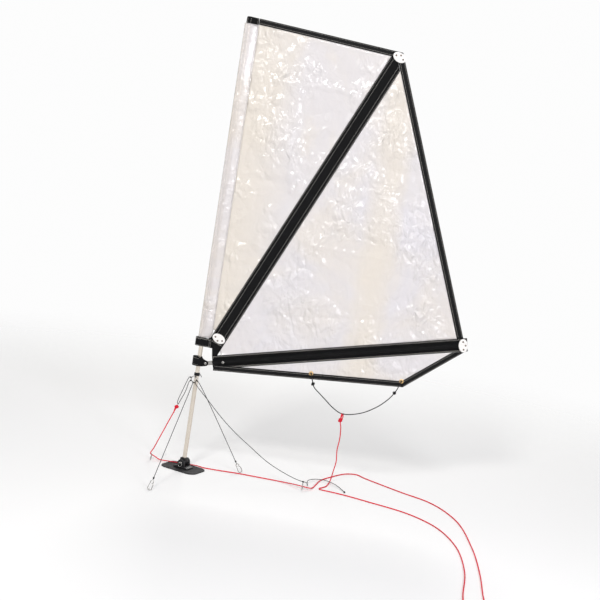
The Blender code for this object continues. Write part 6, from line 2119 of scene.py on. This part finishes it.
def make_plates():
    oval_plate("tack", along(DIAGONAL, 0.0), -DIAGONAL[1], PLATE_BACK_Y, "diagonal")
    oval_plate("peak", along(DIAGONAL, DIAGONAL_REACH), DIAGONAL[1], PLATE_BACK_Y, "diagonal")
    oval_plate("clew", along(BOOM, BOOM_REACH), BOOM[1], BOOM_NEAR_Y - GAP, "boom")


def make_eyelets():
    half = CAD_TAPE / 2 + 0.0001
    lip = [(EYELET_HOLE + out, half + rise) for out, rise in EYELET_LIP]
    profile = [(EYELET_HOLE, half * 0.5), *lip, (EYELET_RADIUS, half), (EYELET_HOLE + 0.0008, half - 0.0002)]
    profile = [(EYELET_HOLE, -half * 0.5), *profile, *((r, -h) for r, h in profile[:0:-1])]
    for name, spot in zip(("front", "aft"), EYELETS):
        obj = turned(f"{name}_brass_eyelet", profile, at(spot, FLAP_Y), Y_AXIS, "aged_brass", 40)
        riding(obj, "boom", f"{name}_eyelet")


def steel_rivet(name, spot, way, crown, sink):
    """A steel rivet's hollow head, whose crown says how high its three bends stand."""
    low, high, outer = crown
    profile = [
        (0, 0.0006), (0.0012, 0.0006), (0.0016, low), (0.0026, high), (0.004, outer), (RIVET_HEAD, 0.0002),
        (RIVET_HEAD, -sink), (0, -sink),
    ]
    return turned(name, profile, spot, way, "bright_steel", 36)


def make_boom_fittings():
    half, neck = TONGUE_WIDTH / 2, TONGUE_NECK / 2
    shoulder = BOOM_POCKET_START - GAP
    outline = [(half * c, half * s) for c, s in arc(90, 270, 16)]
    outline += [(shoulder, -half), (shoulder, -neck), (TONGUE_REACH, -neck)]
    outline += [(run, -across) for run, across in outline[:-4:-1]]
    bm = bmesh.new()
    back_y = BOOM_Y - TONGUE_THICKNESS / 2
    extruded(bm, [at(along(BOOM, *spot), back_y) for spot in outline], Y_AXIS * TONGUE_THICKNESS)
    bevel_all(bm, 0.0003, 2, 50)
    riding(piece("boom_tongue_strip", bm, "bright_steel"), "boom", "boom_tongue")
    leaf_out = TONGUE_THICKNESS / 2 + GAP + STRAP + GAP
    for name, side in (("near", -1), ("far", 1)):
        spot = Vector((PIVOT.x, BOOM_Y + side * leaf_out, PIVOT.z))
        obj = steel_rivet(f"pivot_rivet_{name}", spot, Y_AXIS * side, (0.0012, 0.0013, 0.0008), 0.0001)
        riding(obj, "sail", "pivot_rivet")
    spot = at(along(BOOM, LOCK_RIVET_REACH), BOOM_NEAR_Y)
    obj = steel_rivet("boom_lock_rivet_head", spot, NEAR, (0.0013, 0.0014, 0.0009), 0.0004)
    riding(obj, "boom", "boom_lock_rivet")
    profile = [
        (0, 0.0003), (BOOM_RADIUS - 0.0004, 0.0003), (BOOM_RADIUS, 0.0008), (BOOM_RADIUS, 0.007),
        (BOOM_RADIUS * 0.93, 0.0092), (BOOM_RADIUS * 0.74, 0.0108), (BOOM_RADIUS * 0.4, 0.0116), (0, 0.0118),
    ]
    spot = at(along(BOOM, BOOM_POCKET_END - 0.012), BOOM_Y)
    riding(turned("boom_cap", profile, spot, at(BOOM[1], 0.0), "black_plastic", 40), "boom", "boom_end_cap")


class DressFittings(bpy.types.Operator):
    """Makes the corner plates with their rivets, the eyelets and the boom's tongue, rivets and cap."""

    bl_idname = "sail.dress_fittings"
    bl_label = "Fittings"

    def execute(self, context):
        make_plates()
        make_eyelets()
        make_boom_fittings()
        return {"FINISHED"}


# Snap hooks and rings on the deck

GATE_RADIUS = 0.0011
DECK_RING_WIRE = 0.0016
EYE_UP = HOOK_LENGTH - HOOK_HALF_WIDTH - HOOK_WIRE - HOOK_EYE_RADIUS


def make_hook(name, place):
    """A snap hook of bent wire with a sprung gate."""
    points = [(HOOK_EYE_RADIUS * c, EYE_UP + HOOK_EYE_RADIUS * s) for c, s in arc(-60, 240, 24)]
    eye_start, eye_up = points[0]
    (start_x, start_up), low_up = points[-1], EYE_UP - HOOK_EYE_RADIUS * 2.0
    for share in (0.25, 0.5, 0.75):
        x = start_x + (-HOOK_HALF_WIDTH - start_x) * smooth_step(share)
        points.append((x, start_up + (low_up - start_up) * share))
    points += [(-HOOK_HALF_WIDTH, low_up), (-HOOK_HALF_WIDTH, low_up * 0.5)]
    points += [(HOOK_HALF_WIDTH * c, HOOK_HALF_WIDTH * s) for c, s in arc(180, 360, 18)]
    points.append((HOOK_HALF_WIDTH, HOOK_WIRE * 2))
    wire = [place @ Vector((a, 0, u)) for a, u in points]
    riding(tube(f"{name}_hook_wire", wire, HOOK_WIRE, "bright_steel", 14), "deck", f"{name}_hook")
    hinge_spot = Vector((eye_start + HOOK_WIRE + GATE_RADIUS + GAP, 0, eye_up))
    tip = Vector((HOOK_HALF_WIDTH, 0, HOOK_WIRE * 2 + GAP + GATE_RADIUS / 2))
    run = (tip - hinge_spot).length
    profile = [
        (0, 0.0006), (0.0008, 0.0006), (GATE_RADIUS, 0.0011), (GATE_RADIUS * 0.85, run * 0.5),
        (GATE_RADIUS, run - 0.0012), (GATE_RADIUS * 1.05, run - 0.0005), (GATE_RADIUS * 0.7, run), (0, run),
    ]
    way = place.to_3x3() @ (tip - hinge_spot).normalized()
    gate = turned(f"{name}_hook_gate_bar", profile, place @ hinge_spot, way, "bright_steel", 20)
    riding(gate, f"{name}_gate", f"{name}_hook_gate")


class DressHardware(bpy.types.Operator):
    """Makes the two snap hooks and the two rings on the deck."""

    bl_idname = "sail.dress_hardware"
    bl_label = "Hooks and rings"

    def execute(self, context):
        for name, spot in HOOK_PLACES.items():
            make_hook(name, hook_frame(*spot))
        wire = DECK_RING_WIRE
        for name in ("deck_ring", "bow_ring"):
            radius = span(name).z / 2 - wire
            obj = ring_of_wire(f"{name}_wire", middle(name), X_AXIS, radius, wire, "bright_steel", 48, 16)
            riding(obj, "deck", name)
        return {"FINISHED"}


# The stage

CAMERA_SPOT = Vector((0.2, -4.5, 1.3))
CAMERA_AIM_DEG = (1.7205, -7.6185, 9.0538)
FLOOR_MIDDLE_X = 0.4
FLOOR_RADIUS = 12.0
FLOOR_DROP = 0.0004
FLOOR_FADE = (1.3, 3.4)
LIT_WORLD, PALE_WORLD = 0.38, 0.98
WARM, COOL, PLAIN = (1.0, 0.98, 0.95), (0.95, 0.95, 1.0), (1.0, 1.0, 1.0)
# Each lamp's place, what it aims at, its width and height, its power and its colour
LAMPS = {
    "key": ((-1.3, -4.6, 3.6), (0.4, 0, 0.9), 0.8, 0.8, 118, WARM),
    "side": ((2.7, -4.0, 2.0), (0.4, 0, 0.9), 0.9, 0.9, 70, COOL),
    "high": ((0.5, -3.4, 4.2), (0.4, 0, 0.8), 1.0, 0.6, 46, PLAIN),
    "back": ((0.6, 3.6, 3.2), (0.4, 0, 0.9), 1.6, 1.6, 85, WARM),
}


def stood(name, data, place):
    obj = bpy.data.objects.new(name, data)
    obj.matrix_world = place
    bpy.context.scene.collection.objects.link(obj)
    return obj


def make_camera():
    """The camera where the photograph was taken from, turned by its azimuth, its pitch and its roll."""
    azimuth, pitch, roll = (math.radians(a) for a in CAMERA_AIM_DEG)
    level_share = math.cos(pitch)
    forward = Vector((math.sin(azimuth) * level_share, math.cos(azimuth) * level_share, math.sin(pitch)))
    level = Vector((math.cos(azimuth), -math.sin(azimuth), 0))
    upright = level.cross(forward)
    right = level * math.cos(roll) + upright * math.sin(roll)
    up = upright * math.cos(roll) - level * math.sin(roll)
    data = bpy.data.cameras.new("camera")
    data.lens = size("lens")
    data.sensor_width = 36
    data.clip_end = 100
    turn = Matrix((right, up, -forward)).transposed().to_4x4()
    bpy.context.scene.camera = stood("camera", data, Matrix.Translation(CAMERA_SPOT) @ turn)


def make_floor():
    """A pale floor that fades out far from the part, so that it has no edge."""
    bm = bmesh.new()
    bmesh.ops.create_circle(bm, cap_ends=True, segments=96, radius=FLOOR_RADIUS)
    bmesh.ops.translate(bm, verts=bm.verts, vec=(FLOOR_MIDDLE_X, 0, -FLOOR_DROP))
    mesh = bpy.data.meshes.new("floor")
    bm.to_mesh(mesh)
    bm.free()
    floor = stood("floor", mesh, Matrix())
    constants = {"Specular IOR Level": 0.1, "Base Color": (*colour("floor"), 1)}
    finish, tree, skin = begin("pale_floor", 0.9, constants)
    where = node(tree, "ShaderNodeTexCoord").outputs["Object"]
    shift = {"Location": (-FLOOR_MIDDLE_X, 0, 0)}
    centred = node(tree, "ShaderNodeMapping", shift, {"Vector": where}).outputs["Vector"]
    away = node(tree, "ShaderNodeVectorMath", wires={0: centred}, operation="LENGTH").outputs["Value"]
    reach = dict(zip(("From Min", "From Max"), FLOOR_FADE))
    fade = node(tree, "ShaderNodeMapRange", reach, {"Value": away}, interpolation_type="SMOOTHSTEP")
    clear = node(tree, "ShaderNodeBsdfTransparent")
    wires = {0: fade.outputs["Result"], 1: skin.outputs["BSDF"], 2: clear.outputs["BSDF"]}
    mixed = node(tree, "ShaderNodeMixShader", wires=wires)
    tree.links.new(mixed.outputs["Shader"], tree.nodes["Material Output"].inputs["Surface"])
    mesh.materials.append(finish)
    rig.stage(floor)


def make_world():
    """A world that lights the part softly, and that is seen and mirrored paler than it lights."""
    world = bpy.data.worlds.new("studio")
    bpy.context.scene.world = world
    world.use_nodes = True
    tree = world.node_tree
    tree.nodes.clear()
    path = node(tree, "ShaderNodeLightPath").outputs
    seen = maths(tree, "MAXIMUM", path["Is Camera Ray"], path["Is Transmission Ray"])
    seen = maths(tree, "MAXIMUM", seen, path["Is Glossy Ray"])
    lit, pale = (
        node(tree, "ShaderNodeBackground", {"Color": shade, "Strength": strength}).outputs["Background"]
        for shade, strength in (((0.97, 0.98, 1.0, 1), LIT_WORLD), ((1.0, 1.0, 1.0, 1), PALE_WORLD))
    )
    mixed = node(tree, "ShaderNodeMixShader", wires={0: seen, 1: lit, 2: pale}).outputs["Shader"]
    node(tree, "ShaderNodeOutputWorld", wires={"Surface": mixed}).is_active_output = True


def add_lamp(name, spot, aim, width, height, power, shade):
    data = bpy.data.lights.new(name, "AREA")
    data.shape = "RECTANGLE"
    data.size, data.size_y = width, height
    data.energy = power
    data.color = shade
    turn = (Vector(aim) - Vector(spot)).to_track_quat("-Z", "Y").to_matrix().to_4x4()
    stood(name, data, Matrix.Translation(Vector(spot)) @ turn)


class SetStage(bpy.types.Operator):
    """Sets up the camera, the pale floor and the studio light."""

    bl_idname = "sail.set_stage"
    bl_label = "Stage"

    def execute(self, context):
        make_camera()
        make_floor()
        make_world()
        for name, given in LAMPS.items():
            add_lamp(name, *given)
        context.scene.view_settings.view_transform = "Standard"
        return {"FINISHED"}


STEPS = (
    SetStage, LayLines, DressFoot, DressMast, DressFilm, DressTapes, DressPockets, DressStraps,
    DressFittings, DressHardware,
)


class SailPanel(bpy.types.Panel):
    """The steps that dress the sail."""

    bl_idname = "SAIL_PT_dress"
    bl_label = "Canoe sail"
    bl_space_type = "VIEW_3D"
    bl_region_type = "UI"
    bl_category = "Sail"

    def draw(self, context):
        for group in (context.scene.sail_colours, context.scene.sail_sizes):
            for name in group.__annotations__:
                self.layout.prop(group, name)
        for step in STEPS:
            self.layout.operator(step.bl_idname)


CLASSES = (SailColours, SailSizes, *STEPS, SailPanel)


def register():
    for cls in CLASSES:
        bpy.utils.register_class(cls)
    bpy.types.Scene.sail_colours = bpy.props.PointerProperty(type=SailColours)
    bpy.types.Scene.sail_sizes = bpy.props.PointerProperty(type=SailSizes)


def unregister():
    del bpy.types.Scene.sail_sizes
    del bpy.types.Scene.sail_colours
    for cls in reversed(CLASSES):
        bpy.utils.unregister_class(cls)


def main():
    register()
    for step in STEPS:
        group, name = step.bl_idname.split(".")
        getattr(getattr(bpy.ops, group), name)()
    box = {"cad": [list(corner) for corner in CAD_BOX], "visual": [list(corner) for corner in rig.bounds()]}
    with open("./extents.json", "w") as out:
        json.dump(box, out)


if __name__ == "__main__":
    main()
